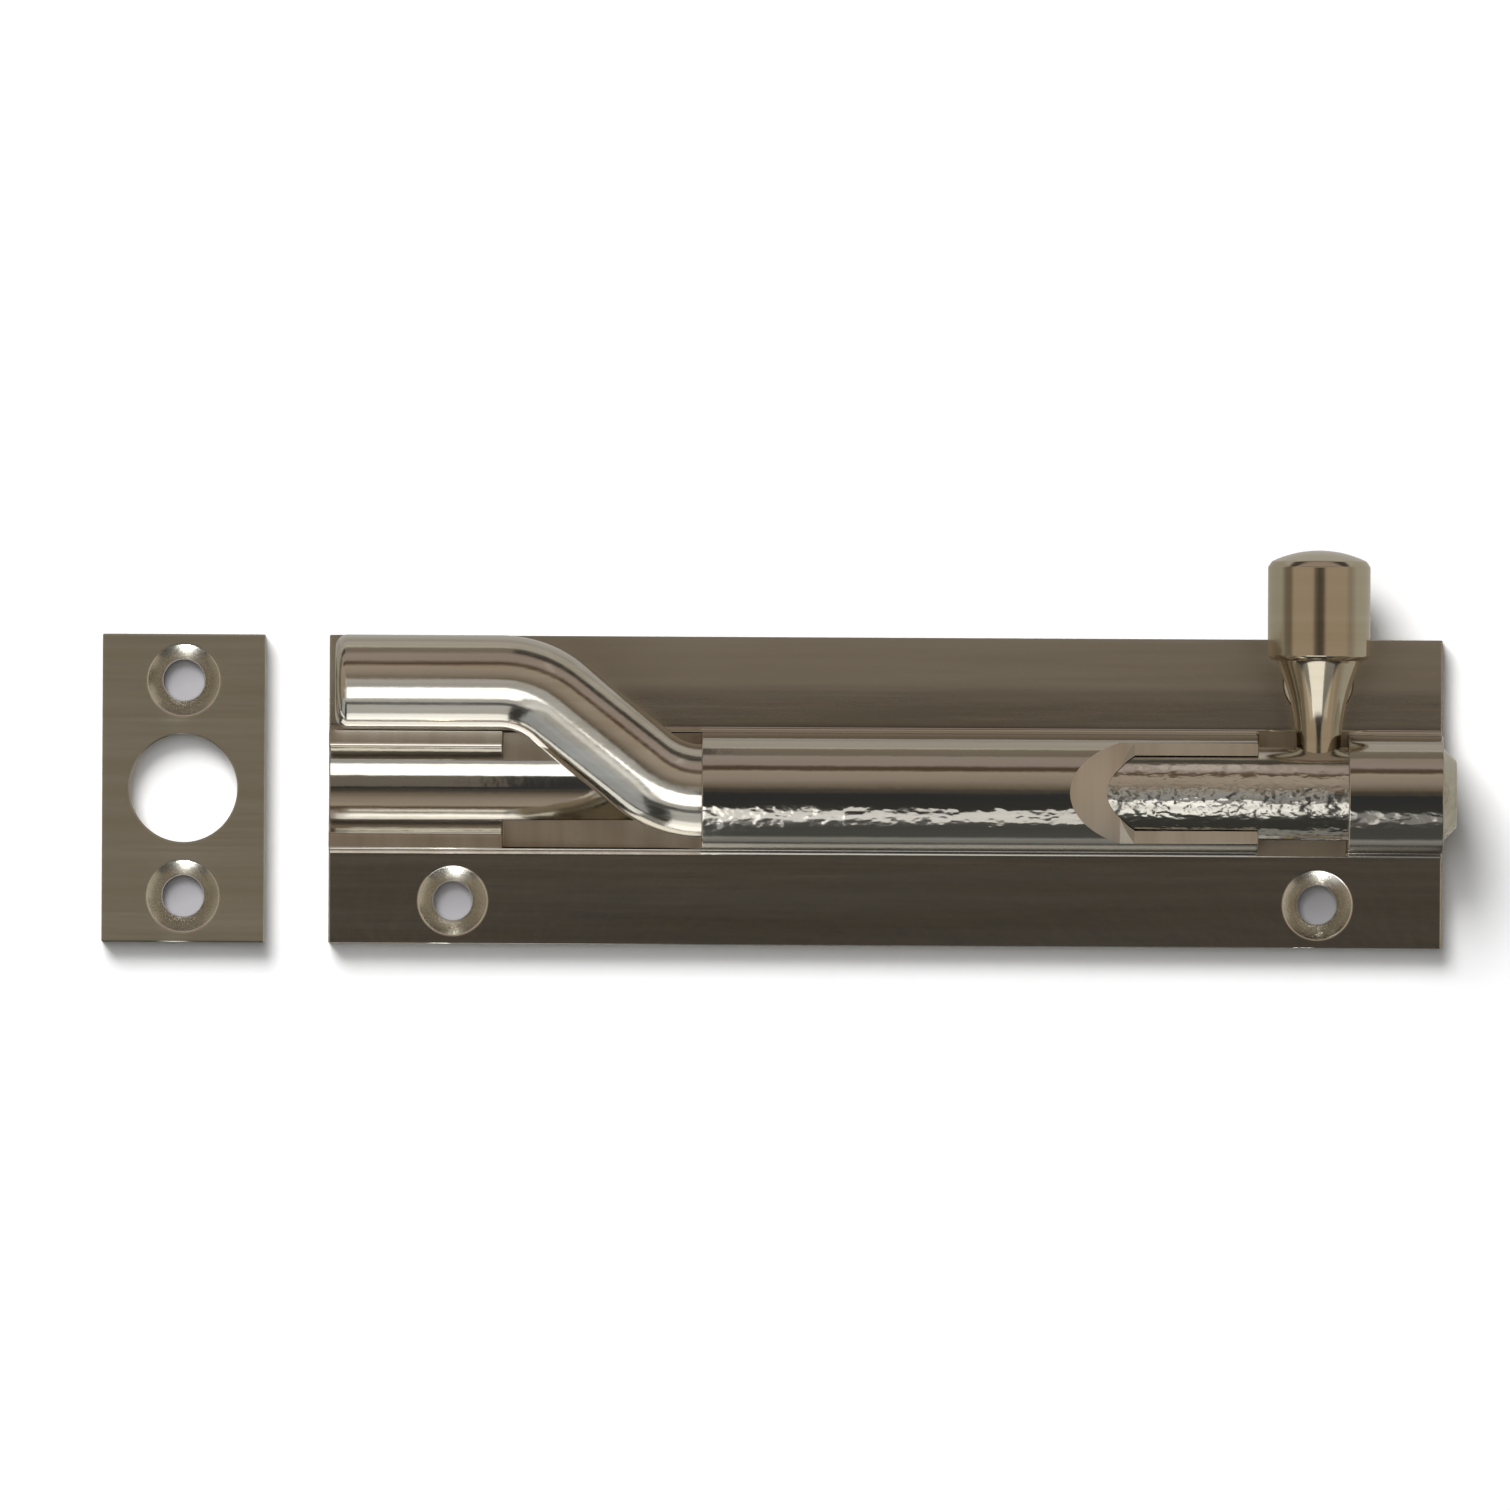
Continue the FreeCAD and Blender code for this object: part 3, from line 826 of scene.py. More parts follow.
    def make_slot_cutter(self, reach: float, above: float) -> bpy.types.Object:
        """Draw the side of the crown slot, with its sloping front end, and run it across the barrel.

        Args:
            reach: Half of its width.
            above: The height of its top.

        Returns:
            The cutter.
        """
        floor = self.axis_height + self.slot_level
        slope_top = self.slot_start - (above - floor) / math.tan(math.radians(self.slot_slope))
        end = self.notch_front + OVERRUN
        pen = Pen("crown_slot_cutter", (slope_top, -reach, above))
        pen.line_to((self.slot_start, -reach, floor), (end, -reach, floor), (end, -reach, above),
                    (slope_top, -reach, above))
        cutter = pen.fill()
        extrude_face(metres(0.0, 2 * reach, 0.0))
        close_skin()
        return cutter

    def make_ramp_cutter(self) -> bpy.types.Object:
        """Draw what the ramp takes off the crown, and swing it across the barrel.

        The ramp is rounder across than flat and less round than the barrel, as a belt dresses it.

        Returns:
            The cutter.
        """
        pivot = self.axis_height + self.barrel_radius - self.ramp_rounding
        floor = self.ramp_rounding + self.ramp_level - self.barrel_radius
        top = self.ramp_rounding + OVERRUN
        # The ramp starts in the air before the crown, so that it runs out without a step
        start = self.ramp_start - OVERRUN
        lead = OVERRUN * (self.ramp_rounding - floor) / (self.ramp_end - self.ramp_start)
        swing = math.radians(self.ramp_swing)
        side, up = math.sin(swing / 2), math.cos(swing / 2)
        corners = [(x, radius * side, pivot + radius * up) for x, radius in (
            (start, self.ramp_rounding + lead), (self.ramp_end, floor), (self.slot_start, floor),
            (self.slot_start, top), (start, top), (start, self.ramp_rounding + lead))]
        pen = Pen("ramp_cutter", corners[0])
        pen.line_to(*corners[1:])
        cutter = pen.fill()
        spin(ROUND_STEPS // 2, swing, metres(0.0, 0.0, pivot), (1.0, 0.0, 0.0))
        close_skin()
        return cutter

    def screw_places(self) -> list[Pair]:
        """List the X and Y of the four screw holes."""
        along, across = (spacing / 2 for spacing in self.screw_spacing)
        return [(x, y) for x in (-along, along) for y in (-across, across)]

    def drill_screw_holes(self, piece: bpy.types.Object) -> None:
        """Drill and countersink the four screw holes.

        Args:
            piece: The milled piece.
        """
        for x, y in self.screw_places():
            cut_away(piece, make_countersink("screw_countersink", x, y, self.thickness,
                                             self.screw_hole, self.screw_sink))

    def is_on_crown(self, face: bpy.types.MeshPolygon) -> bool:
        """Say whether a face was dressed on the belt.

        Args:
            face: A face of the piece.

        Returns:
            True on the ramp and on the flats of the crown slot, but not on the barrel's skin.
        """
        x, y, z = face.center / MM
        level = z - self.axis_height
        depth = self.barrel_radius - math.hypot(y, level)
        wall = self.barrel_radius - self.bore_radius
        in_wall = level > self.slot_level - NEAR and SKIN < depth < wall + SKIN
        faces_up = face.normal.z > 0.3 and face.normal.x < 0.5
        return in_wall and faces_up and self.ramp_start < x < self.notch_front - NEAR

    def is_left_crisp(self, middle: Vector) -> bool:
        """Say whether an edge stays as the belt or the die left it.

        Args:
            middle: The middle of the edge, in millimetres.

        Returns:
            True on the ramp's outline and on the foot's edges.
        """
        x, y, z = middle
        ramp_bottom = self.axis_height + self.slot_level - 0.2
        on_ramp = self.ramp_start - 0.5 < x < self.slot_start + 0.3 and z > ramp_bottom
        on_foot = abs(abs(y) - self.foot_width / 2) < 0.01 and z < self.thickness + self.foot_height
        return on_ramp or on_foot

    def is_countersink(self, face: bpy.types.MeshPolygon) -> bool:
        """Say whether a face is the slope of a countersink."""
        centre = face.center / MM
        beside_foot = centre.z < self.thickness and self.foot_width / 2 < abs(centre.y)
        return beside_foot and SLOPING[0] < face.normal.z < SLOPING[1]

    def is_milled(self, face: bpy.types.MeshPolygon) -> bool:
        """Say whether a face was left by a cutter and not by the die.

        Args:
            face: A face of the piece.

        Returns:
            True for floors, walls, the insides of holes and the front foot's edges.
        """
        x, y, z = face.center / MM
        foot, foot_top = self.foot_width / 2, self.thickness + self.foot_height
        inside = abs(x) < self.length / 2 - 0.5
        in_wall = inside and z > foot_top - 0.1 and abs(face.normal.x) > SQUARE
        in_hole = (inside and z < self.thickness and foot < abs(y) < self.width / 2 - 0.1
                   and abs(face.normal.z) < SLOPING[0])
        on_foot_edge = (x < self.barrel_front and z > self.thickness + 0.1
                        and abs(abs(y) - foot + 0.2) < 0.25 and 0.5 < face.normal.z < 0.999)
        on_floor = face.normal.z > SQUARE and self.is_cut_floor(x, z)
        return in_wall or in_hole or on_foot_edge or on_floor

    def is_cut_floor(self, x: float, z: float) -> bool:
        """Say whether a level place lies on a floor that a cutter left.

        Args:
            x: Its X, in millimetres.
            z: Its height.

        Returns:
            True on the shelf, in the pocket and in the knob notch.
        """
        floors = (
            (-self.length / 2, self.pocket_front, -self.shelf_depth),
            (self.pocket_front, self.barrel_front, -self.pocket_depth),
            (self.notch_front, self.notch_rear, -self.notch_depth),
        )
        return any(front < x < rear and abs(z - self.axis_height - level) < NEAR
                   for front, rear, level in floors)

    def dress(self, piece: bpy.types.Object) -> None:
        """Give the piece its finishes and its rounded edges.

        Args:
            piece: The milled and drilled piece.
        """
        for finish in (POLISHED_EXTRUSION, MILLED_FACES, DRESSED_CROWN, CUT_COUNTERSINK):
            piece.data.materials.append(finish.make())
        worked = self.is_milled, self.is_on_crown, self.is_countersink
        for number, wanted in enumerate(worked, start=1):
            paint_faces(piece, number, wanted)
        break_edges(piece, self.edge_width, spared=self.is_left_crisp)
        settle(piece, "base", "barrel_plate", flat=(2,))


@dataclass
class SwanNeckBolt:
    """The round rod with its double bend, drawn out ring by ring from the rear.

    Attributes:
        radius: The radius of the rod.
        axis_height: From the door to its axis.
        rear: The station of its rear end.
        chamfer: The width of the chamfer there.
        nose_end: The station of the nose's end.
        nose_rounding: The radius of the nose's edge.
        bend_start: The station at which the first bend starts.
        throw: From the rod's axis to the neck's, along Y.
        crank_angle: How steep the slope between the bends is, in degrees.
        bend_radius: The radius of the bends, at the middle of the rod.
        groove_station: The station of the friction ring's groove.
        groove_half: Half of the groove's width.
        groove_radius: The radius of its floor.
        knob_station: The station of the knob.
        seat_radius: The radius of the knob's seat.
        seat_level: From the axis to the seat's floor.
        stud_radius: The radius of the hole for the knob's stud.
        stud_depth: How far this hole runs past the axis.
        edge_width: How wide a broken edge is.
    """

    radius: float = 4.2
    axis_height: float = 7.5
    rear: float = 51.2
    chamfer: float = 1.2
    nose_end: float = -49.4
    nose_rounding: float = 1.1
    bend_start: float = -16.5
    throw: float = 9.67
    crank_angle: float = 38.0
    bend_radius: float = 8.4
    groove_station: float = 8.0
    groove_half: float = 0.68
    groove_radius: float = 3.32
    knob_station: float = 38.8
    seat_radius: float = 2.0
    seat_level: float = 3.2
    stud_radius: float = 1.5
    stud_depth: float = 1.6
    edge_width: float = 0.1

    def build(self) -> bpy.types.Object:
        """Draw the rod out, bend it and drill it for the knob.

        Returns:
            The finished piece.
        """
        clear_bench()
        bpy.ops.mesh.primitive_circle_add(
            vertices=ROUND_STEPS, radius=(self.radius - self.chamfer) * MM, fill_type="NGON",
            location=metres(self.rear, 0.0, self.axis_height), rotation=(0.0, -math.pi / 2, 0.0))
        piece = take_new(ROD)
        bpy.ops.object.mode_set(mode="EDIT")
        bpy.ops.mesh.select_all(action="SELECT")
        self.draw_straight()
        neck_start = self.draw_crank()
        self.draw_nose(neck_start)
        close_skin()
        self.drill(piece)
        piece.data.materials.append(DRAWN_ROD.make())
        break_edges(piece, self.edge_width)
        settle(piece, "shoot", "swan_neck_bolt")
        return piece

    def swell(self, x: float, y: float, factor: float) -> None:
        """Resize the leading face about its own centre."""
        bpy.ops.transform.resize(value=(factor,) * 3, center_override=metres(x, y, self.axis_height))

    def draw_straight(self) -> None:
        """Draw the rear chamfer, the straight rod and the groove of the friction ring."""
        steps = (
            (self.rear - self.chamfer, self.radius),
            (self.groove_station + self.groove_half, self.radius),
            (self.groove_station + self.groove_half, self.groove_radius),
            (self.groove_station - self.groove_half, self.groove_radius),
            (self.groove_station - self.groove_half, self.radius),
            (self.bend_start, self.radius),
        )
        x, radius = self.rear, self.radius - self.chamfer
        for station, next_radius in steps:
            extrude_face(metres(station - x, 0.0, 0.0))
            if next_radius != radius:
                self.swell(station, 0.0, next_radius / radius)
            x, radius = station, next_radius

    def draw_crank(self) -> float:
        """Spin the leading face through the first bend, run it up the slope and spin it back.

        Returns:
            The station at which the neck starts.
        """
        angle = math.radians(self.crank_angle)
        rise = self.bend_radius * (1 - math.cos(angle))
        slope = (self.throw - 2 * rise) / math.sin(angle)
        up = Vector((-math.cos(angle), math.sin(angle), 0.0))
        first = Vector((self.bend_start, self.bend_radius, self.axis_height))
        run = self.bend_radius * math.sin(angle)
        step = Vector((-2 * run, 2 * rise - 2 * self.bend_radius, 0.0))
        second = first + step + up * slope
        spin(BEND_STEPS, -angle, first * MM, (0.0, 0.0, 1.0))
        extrude_face(up * slope * MM)
        spin(BEND_STEPS, angle, second * MM, (0.0, 0.0, 1.0))
        return first.x - 2 * run - slope * math.cos(angle)

    def draw_nose(self, neck_start: float) -> None:
        """Run the neck and the nose out to the rounded end.

        Args:
            neck_start: The station at which the neck starts.
        """
        shoulder = self.nose_end + self.nose_rounding
        extrude_face(metres(shoulder - neck_start, 0.0, 0.0))
        x, radius = shoulder, self.radius
        for step in range(1, ARC_STEPS + 1):
            turn = math.pi / 2 * step / ARC_STEPS
            station = shoulder - self.nose_rounding * math.sin(turn)
            next_radius = self.radius - self.nose_rounding * (1 - math.cos(turn))
            extrude_face(metres(station - x, 0.0, 0.0))
            self.swell(station, self.throw, next_radius / radius)
            x, radius = station, next_radius

    def drill(self, piece: bpy.types.Object) -> None:
        """Sink the seat and the hole for the knob's stud.

        Args:
            piece: The bent rod.
        """
        x, z = self.knob_station, self.axis_height
        cut_away(
            piece,
            make_rod("seat_cutter", self.seat_radius, (x, self.seat_level, z),
                     (x, self.radius + OVERRUN, z)),
            make_rod("stud_drill", self.stud_radius, (x, -self.stud_depth, z), (x, self.radius, z)))


@dataclass
class Knob:
    """The turned knob. Heights run along its own axis, from the rod's axis.

    Attributes:
        station: Its station along X.
        axis_height: From the door to its axis.
        stud_depth: How far its stud runs past the rod's axis.
        stud_radius: The radius of the stud.
        seat: The height at which the stem starts.
        stem_radius: The radius of the stem.
        flare_start: The height at which the stem starts to flare.
        flare_radius: Its radius where it meets the head.
        head_bottom: The height of the head's underside.
        head_radius: The radius of the head.
        shoulder: The height at which the dome starts.
        top: The height of the dome's top.
        chamfer: The width of the head's chamfers.
        edge_width: How wide a broken edge is.
        flare_steps: How many faces the flare has along the knob.
        dome_steps: How many faces the dome has from rim to top.
    """

    station: float = 38.8
    axis_height: float = 7.5
    stud_depth: float = 1.6
    stud_radius: float = 1.5
    seat: float = 3.2
    stem_radius: float = 2.0
    flare_start: float = 4.0
    flare_radius: float = 3.9
    head_bottom: float = 12.0
    head_radius: float = 4.6
    shoulder: float = 20.7
    top: float = 21.85
    chamfer: float = 0.35
    edge_width: float = 0.08
    flare_steps: int = 20
    dome_steps: int = 12

    def build(self) -> bpy.types.Object:
        """Draw half of the knob's outline and turn it.

        Returns:
            The finished piece.
        """
        flare_rise = self.head_bottom - self.flare_start
        flare_out = self.flare_radius - self.stem_radius
        flare = (flare_rise ** 2 + flare_out ** 2) / (2 * flare_out)
        dome_rise = self.top - self.shoulder
        dome = (self.head_radius ** 2 + dome_rise ** 2) / (2 * dome_rise)
        rim = self.head_radius - self.chamfer
        dome_edge = self.top - dome + math.sqrt(dome ** 2 - rim ** 2)
        pen = Pen(KNOB, self.place(0.0, -self.stud_depth))
        pen.line_to(*(self.place(*corner) for corner in (
            (self.stud_radius, -self.stud_depth),
            (self.stud_radius, self.seat),
            (self.stem_radius, self.seat),
            (self.stem_radius, self.flare_start))))
        pen.arc_to(self.place(self.flare_radius, self.head_bottom),
                   self.place(self.stem_radius + flare, self.flare_start), (0.0, 0.0, 1.0),
                   self.flare_steps)
        pen.line_to(*(self.place(*corner) for corner in (
            (rim, self.head_bottom),
            (self.head_radius, self.head_bottom + self.chamfer),
            (self.head_radius, self.shoulder - self.chamfer),
            (rim, dome_edge))))
        pen.arc_to(self.place(0.0, self.top), self.place(0.0, self.top - dome), (0.0, 0.0, 1.0),
                   self.dome_steps)
        piece = pen.turn(self.place(0.0, 0.0), (0.0, 1.0, 0.0))
        piece.data.materials.append(TURNED_KNOB.make())
        break_edges(piece, self.edge_width)
        settle(piece, "shoot", "knob")
        return piece

    def place(self, radius: float, height: float) -> Place:
        """Say where a corner of the outline lies, in millimetres."""
        return self.station + radius, height, self.axis_height


@dataclass
class KeepPlate:
    """The flat keep that takes the nose.

    Attributes:
        length: Its length along X.
        width: Its width.
        thickness: Its thickness.
        station: The station of its middle.
        hole_radius: The radius of the hole for the nose.
        screw_spacing: From screw to screw.
        screw_hole: The diameter of a screw hole.
        screw_sink: The diameter of its countersink.
        edge_width: How wide a broken edge is.
    """

    length: float = 14.6
    width: float = 27.7
    thickness: float = 2.5
    station: float = -63.1
    hole_radius: float = 4.85
    screw_spacing: float = 19.4
    screw_hole: float = 3.7
    screw_sink: float = 6.5
    edge_width: float = 0.15

    def build(self) -> bpy.types.Object:
        """Cut the blank, bore it and countersink it.

        Returns:
            The finished piece.
        """
        left, half = self.station - self.length / 2, self.width / 2
        pen = Pen(KEEP, (left, -half, 0.0))
        pen.line_to((left, half, 0.0), (left, half, self.thickness), (left, -half, self.thickness),
                    (left, -half, 0.0))
        piece = pen.fill()
        extrude_face(metres(self.length, 0.0, 0.0))
        close_skin()
        cut_away(piece, make_rod("nose_hole_drill", self.hole_radius, (self.station, 0.0, -OVERRUN),
                                 (self.station, 0.0, self.thickness + OVERRUN)))
        for x, y in self.screw_places():
            cut_away(piece, make_countersink("keep_countersink", x, y, self.thickness,
                                             self.screw_hole, self.screw_sink))
        for finish in (LINISHED_STRIP, MILLED_FACES, CUT_COUNTERSINK):
            piece.data.materials.append(finish.make())
        for number, wanted in enumerate((self.is_drilled, self.is_countersink), start=1):
            paint_faces(piece, number, wanted)
        break_edges(piece, self.edge_width)
        settle(piece, "base", "keep_plate")
        return piece

    def screw_places(self) -> list[Pair]:
        """List the X and Y of the two screw holes."""
        return [(self.station, y) for y in (-self.screw_spacing / 2, self.screw_spacing / 2)]

    def is_drilled(self, face: bpy.types.MeshPolygon) -> bool:
        """Say whether a face is the inside of a hole."""
        x, y, _ = face.center / MM
        inside = abs(y) < self.width / 2 - 0.1 and abs(x - self.station) < self.length / 2 - 0.1
        return inside and abs(face.normal.z) < SLOPING[0]

    def is_countersink(self, face: bpy.types.MeshPolygon) -> bool:
        """Say whether a face is the slope of a countersink."""
        return SLOPING[0] < face.normal.z < SLOPING[1]


@dataclass
class FrictionRing:
    """The split spring ring in its groove, which is the CAD part itself.

    Attributes:
        node: The name of the CAD node.
    """

    node: str = "friction_ring"

    def dress(self) -> bpy.types.Object:
        """Give the ring its steel.

        Returns:
            The CAD node's object.
        """
        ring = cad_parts[self.node]
        ring.data.materials.clear()
        ring.data.materials.append(SPRING_WIRE.make())
        log.info("%s: its own mesh, dressed", self.node)
        return ring


@dataclass(frozen=True)
class StripLight:
    """A long softbox that one piece mirrors.

    Attributes:
        name: The name of the light.
        piece: The piece that it lights.
        reach: Where it starts and ends along X, in metres.
        angles: The angles from the zenith that it covers, towards +Y.
        radiance: How bright its face is.
        tint: Its colour.
    """

    name: str
    piece: str
    reach: Pair
    angles: Pair
    radiance: float
    tint: str = "FFFFFF"


# Where along the barrel a strip shows, in metres, and the colour of a warm wall
NECK = (-0.095, -0.018)
CRANK = (-0.060, -0.010)
SLOPE = (-0.190, -0.100)
WINDOW = (0.018, 0.043)
REAR = (-0.016, 0.070)
WARM = "E4D2BC"
STRIPS = (
    StripLight("barrel_strip", BARREL, (-0.016, 0.040), (-58.0, -39.0), 1.0),
    StripLight("barrel_strip_rear", BARREL, (0.040, 0.070), (-57.0, -40.0), 0.25),
    StripLight("barrel_haze", BARREL, REAR, (-100.0, -60.0), 0.05),
    StripLight("barrel_glow", BARREL, REAR, (77.0, 96.0), 0.24, WARM),
    StripLight("channel_strip", BARREL, NECK, (-66.0, -35.0), 2.2),
    StripLight("channel_haze", BARREL, NECK, (-110.0, -66.0), 0.5),
    StripLight("channel_glow", BARREL, (-0.095, -0.036), (-35.0, -7.0), 0.22, WARM),
    StripLight("neck_strip_high", ROD, CRANK, (-39.0, -12.0), 2.3),
    StripLight("neck_strip_wide", ROD, NECK, (-50.0, 9.0), 0.5),
    StripLight("slope_strip_high", ROD, (-0.130, -0.075), (-45.0, -15.0), 0.5),
    StripLight("slope_strip_middle", ROD, SLOPE, (-95.0, -45.0), 0.6, "DDE2EA"),
    StripLight("slope_strip_low", ROD, SLOPE, (-120.0, -100.0), 1.0),
    StripLight("neck_strip_middle", ROD, CRANK, (-86.0, -58.0), 0.6),
    StripLight("neck_strip_low", ROD, CRANK, (-120.0, -86.0), 1.5),
    StripLight("neck_glow", ROD, NECK, (77.0, 98.0), 0.22, WARM),
    StripLight("window_strip", ROD, WINDOW, (-53.0, -22.0), 1.35),
    StripLight("window_wide", ROD, WINDOW, (-30.0, 10.0), 0.35),
    StripLight("window_glint", ROD, (0.026, 0.034), (58.0, 74.0), 0.25),
    StripLight("knob_strip", KNOB, (-0.045, 0.080), (-58.0, -18.0), 1.3),
    StripLight("knob_wide", KNOB, (-0.110, 0.170), (-58.0, -18.0), 0.22),
)


@dataclass(frozen=True)
class PanelLight:
    """A soft rectangular light that stands near or far.

    Attributes:
        name: The name of the light.
        place: Its centre, in metres.
        size: Its length along X and its height.
        radiance: How bright its face is.
        aim: The place that it faces.
        pieces: The pieces that it lights. None of them means that it lights everything.
        beam: How wide its beam is, in degrees.
    """

    name: str
    place: Sequence[float]
    size: Pair
    radiance: float
    aim: Sequence[float] = (0.0, 0.0, 0.0)
    pieces: tuple[str, ...] = ()
    beam: float = 180.0

    def hang(self) -> bpy.types.Object:
        """Add the light.

        Returns:
            The light.
        """
        clear_bench()
        bpy.ops.object.light_add(type="AREA", location=self.place)
        light = bpy.context.object
        light.name = light.data.name = self.name
        light.data.shape = "RECTANGLE"
        light.data.size, light.data.size_y = self.size
        # A grid before the light narrows its beam, and the power goes down by what it holds back
        half = math.radians(self.beam / 2)
        let_through = 1 - half / math.tan(half)
        light.data.spread = 2 * half
        light.data.energy = self.radiance * math.pi * math.prod(self.size) * let_through
        way = Vector(self.aim) - Vector(self.place)
        light.rotation_euler = way.to_track_quat("-Z", "Y").to_euler()
        light.visible_camera = False
        if self.pieces:
            lit = bpy.data.collections.new(f"lit_by_{self.name}")
            for piece in self.pieces:
                lit.objects.link(bpy.data.objects[piece])
            light.light_linking.receiver_collection = lit
        return light


# The key and the fill light the floor alone. White cards stand between the channel and the neck: one
# for each of them.
FLOOR_LIGHTS = (
    PanelLight("key_light", (-0.63, 1.25, 1.5), (1.05, 1.05), 14.6),
    PanelLight("fill_light", (-0.2, 0.25, 1.8), (1.3, 1.3), 2.6),
)
CARDS = (
    PanelLight("channel_card", (-0.0375, 0.0053, 0.00595), (0.024, 0.0020), 1.0,
               (-0.0375, -0.0200, 0.00595), (BARREL,)),
    PanelLight("neck_card", (-0.0415, 0.0022, 0.0062), (0.019, 0.0025), 1.3,
               (-0.0415, 0.0060, 0.0088), (ROD,)),
)


@dataclass
class Studio:
    """Floor, sky, lights and camera. Sizes are in metres, and angles in degrees.

    The sky is given from below one side over the zenith to below the other side, as angles from the
    zenith, each with its radiance. Black cloth hangs at the -Y side, and warm brown walls at the
    other.

    Attributes:
        screw_places: The X and Y of each screw hole, in millimetres.
        lit_places: The X and Y of those that nothing hangs over.
        floor_size: The side of the floor.
        floor_level: Its height, a little below the plate.
        shade_dot_radius: The radius of the grey dots under the holes, which paint shade onto the
            floor seen through them.
        shade_dot_level: Their height, between the floor and the plate.
        camera_height: From the door to the camera.
        frame_width: The width of what the camera sees on the door.
        frame_centre: The X and Y of its middle.
        camera_roll: How far the camera is turned about its own axis.
        sensor: The width of its sensor, in millimetres.
        mirror_height: The height at which the metal mirrors the strips.
        strip_distance: From there to a strip.
        corner_blend: How softly the sky along blends into the sky across.
        glint_size: The length and height of the light before a countersink.
        glint_offset: From the hole to that light, in millimetres.
        glint_aim: From the hole to what that light faces, in millimetres.
        glint_radiance: How bright that light is.
        glint_beam: How wide its beam is.
        sky_across: The sky from -Y to +Y, which the barrel and the rod mirror.
        sky_along: The sky from -X to +X, which the knob mirrors.
    """

    screw_places: Sequence[Pair]
    lit_places: Sequence[Pair]
    floor_size: float = 9.0
    floor_level: float = -0.05 * MM
    shade_dot_radius: float = 2.6 * MM
    shade_dot_level: float = -0.02 * MM
    camera_height: float = 3.0
    frame_width: float = 0.1358
    frame_centre: Pair = (-0.01174, 0.00324)
    camera_roll: float = 0.30
    sensor: float = 36.0
    mirror_height: float = 0.0085
    strip_distance: float = 0.16
    corner_blend: float = 0.06
    glint_size: Pair = (1.8 * MM, 1.2 * MM)
    glint_offset: Place = (-1.2, -8.5, 5.0)
    glint_aim: Place = (0.0, 2.2, 1.9)
    glint_radiance: float = 120.0
    glint_beam: float = 28.0
    sky_across: Sky = (
        (-180, (0.04, 0.04, 0.04)), (-124, (0.05, 0.05, 0.045)), (-118, (0.26, 0.26, 0.25)),
        (-105, (0.34, 0.34, 0.32)), (-99, (0.05, 0.05, 0.045)), (-66, (0.05, 0.05, 0.045)),
        (-60, (0.10, 0.10, 0.095)), (-36, (0.055, 0.053, 0.047)), (-15, (0.043, 0.045, 0.048)),
        (1, (0.043, 0.045, 0.048)), (9, (0.22, 0.18, 0.135)), (22, (0.40, 0.335, 0.285)),
        (40, (0.50, 0.415, 0.335)), (43, (0.13, 0.09, 0.06)), (50, (0.13, 0.09, 0.06)),
        (54, (0.44, 0.36, 0.335)), (74, (0.42, 0.355, 0.31)), (79, (0.07, 0.06, 0.05)),
        (92, (0.10, 0.09, 0.08)), (96, (0.52, 0.49, 0.44)), (115, (0.55, 0.51, 0.46)),
        (121, (0.42, 0.39, 0.35)), (132, (0.52, 0.50, 0.47)), (180, (0.52, 0.50, 0.47)),
    )
    sky_along: Sky = (
        (-180, (0.42, 0.40, 0.36)), (-95, (0.44, 0.42, 0.36)), (-82, (0.22, 0.19, 0.145)),
        (-68, (0.20, 0.17, 0.13)), (-60, (0.46, 0.385, 0.30)), (-16, (0.46, 0.385, 0.30)),
        (-8, (0.15, 0.125, 0.095)), (8, (0.11, 0.09, 0.07)), (16, (0.46, 0.385, 0.30)),
        (62, (0.46, 0.385, 0.30)), (74, (0.34, 0.29, 0.24)), (95, (0.48, 0.46, 0.40)),
        (180, (0.50, 0.48, 0.43)),
    )

    def build(self) -> None:
        """Set the whole studio up round the object."""
        self.lay_floor()
        self.lay_hole_shade_dots()
        self.hang_sky()
        self.hang_lights()
        self.set_camera()
        log.info("studio: floor, sky, %d strips and camera", len(STRIPS))

    def mix_paper(self, name: str, dark: str, pale: str) -> bpy.types.Material:
        """Make matt paper, with no gloss and with soft fibres.

        Args:
            name: The name of the material.
            dark: Its colour between the fibres.
            pale: The colour of the fibres.

        Returns:
            The new material.
        """
        paper = bpy.data.materials.new(name)
        paper.use_nodes = True
        tree = paper.node_tree
        tree.nodes.clear()
        place = add_node(tree, "ShaderNodeTexCoord").outputs["Object"]
        fibres = add_node(tree, "ShaderNodeTexNoise", {
            "Vector": place, "Scale": 1 / (2 * MM), "Detail": 3.0})
        colour = add_node(tree, "ShaderNodeMix", {
            "Factor": fibres.outputs["Fac"], 6: to_linear(dark), 7: to_linear(pale)},
            data_type="RGBA")
        surface = add_node(tree, "ShaderNodeBsdfPrincipled", {
            "Base Color": colour.outputs[2], "Roughness": 0.9, "Specular IOR Level": 0.0})
        add_node(tree, "ShaderNodeOutputMaterial", {"Surface": surface.outputs["BSDF"]})
        return paper

    def lay_floor(self) -> None:
        """Lay a pale floor under the object."""
        clear_bench()
        bpy.ops.mesh.primitive_plane_add(size=self.floor_size, location=(0.0, 0.0, self.floor_level))
        floor = take_new("floor")
        floor.data.materials.append(self.mix_paper("matt_white_paper", "F6F6F6", "FAFAFA"))
        # The metal mirrors the lower half of the sky in its place, as in the photograph
        floor.visible_glossy = False

    def lay_hole_shade_dots(self) -> None:
        """Lay a dot of grey paper under each screw hole, so that the hole looks grey: painted shade
        on the floor seen through it.
        """
        # Painted shade: the grey dots darken the floor only where it shows through the holes
        grey = self.mix_paper("grey_paper_painted_hole_shade", "A3A2A6", "A8A7AA")
        for number, (x, y) in enumerate(self.screw_places):
            clear_bench()
            bpy.ops.mesh.primitive_circle_add(
                vertices=32, radius=self.shade_dot_radius, fill_type="NGON",
                location=(x * MM, y * MM, self.shade_dot_level))
            dot = take_new(f"grey_dot_{number}")
            dot.data.materials.append(grey)

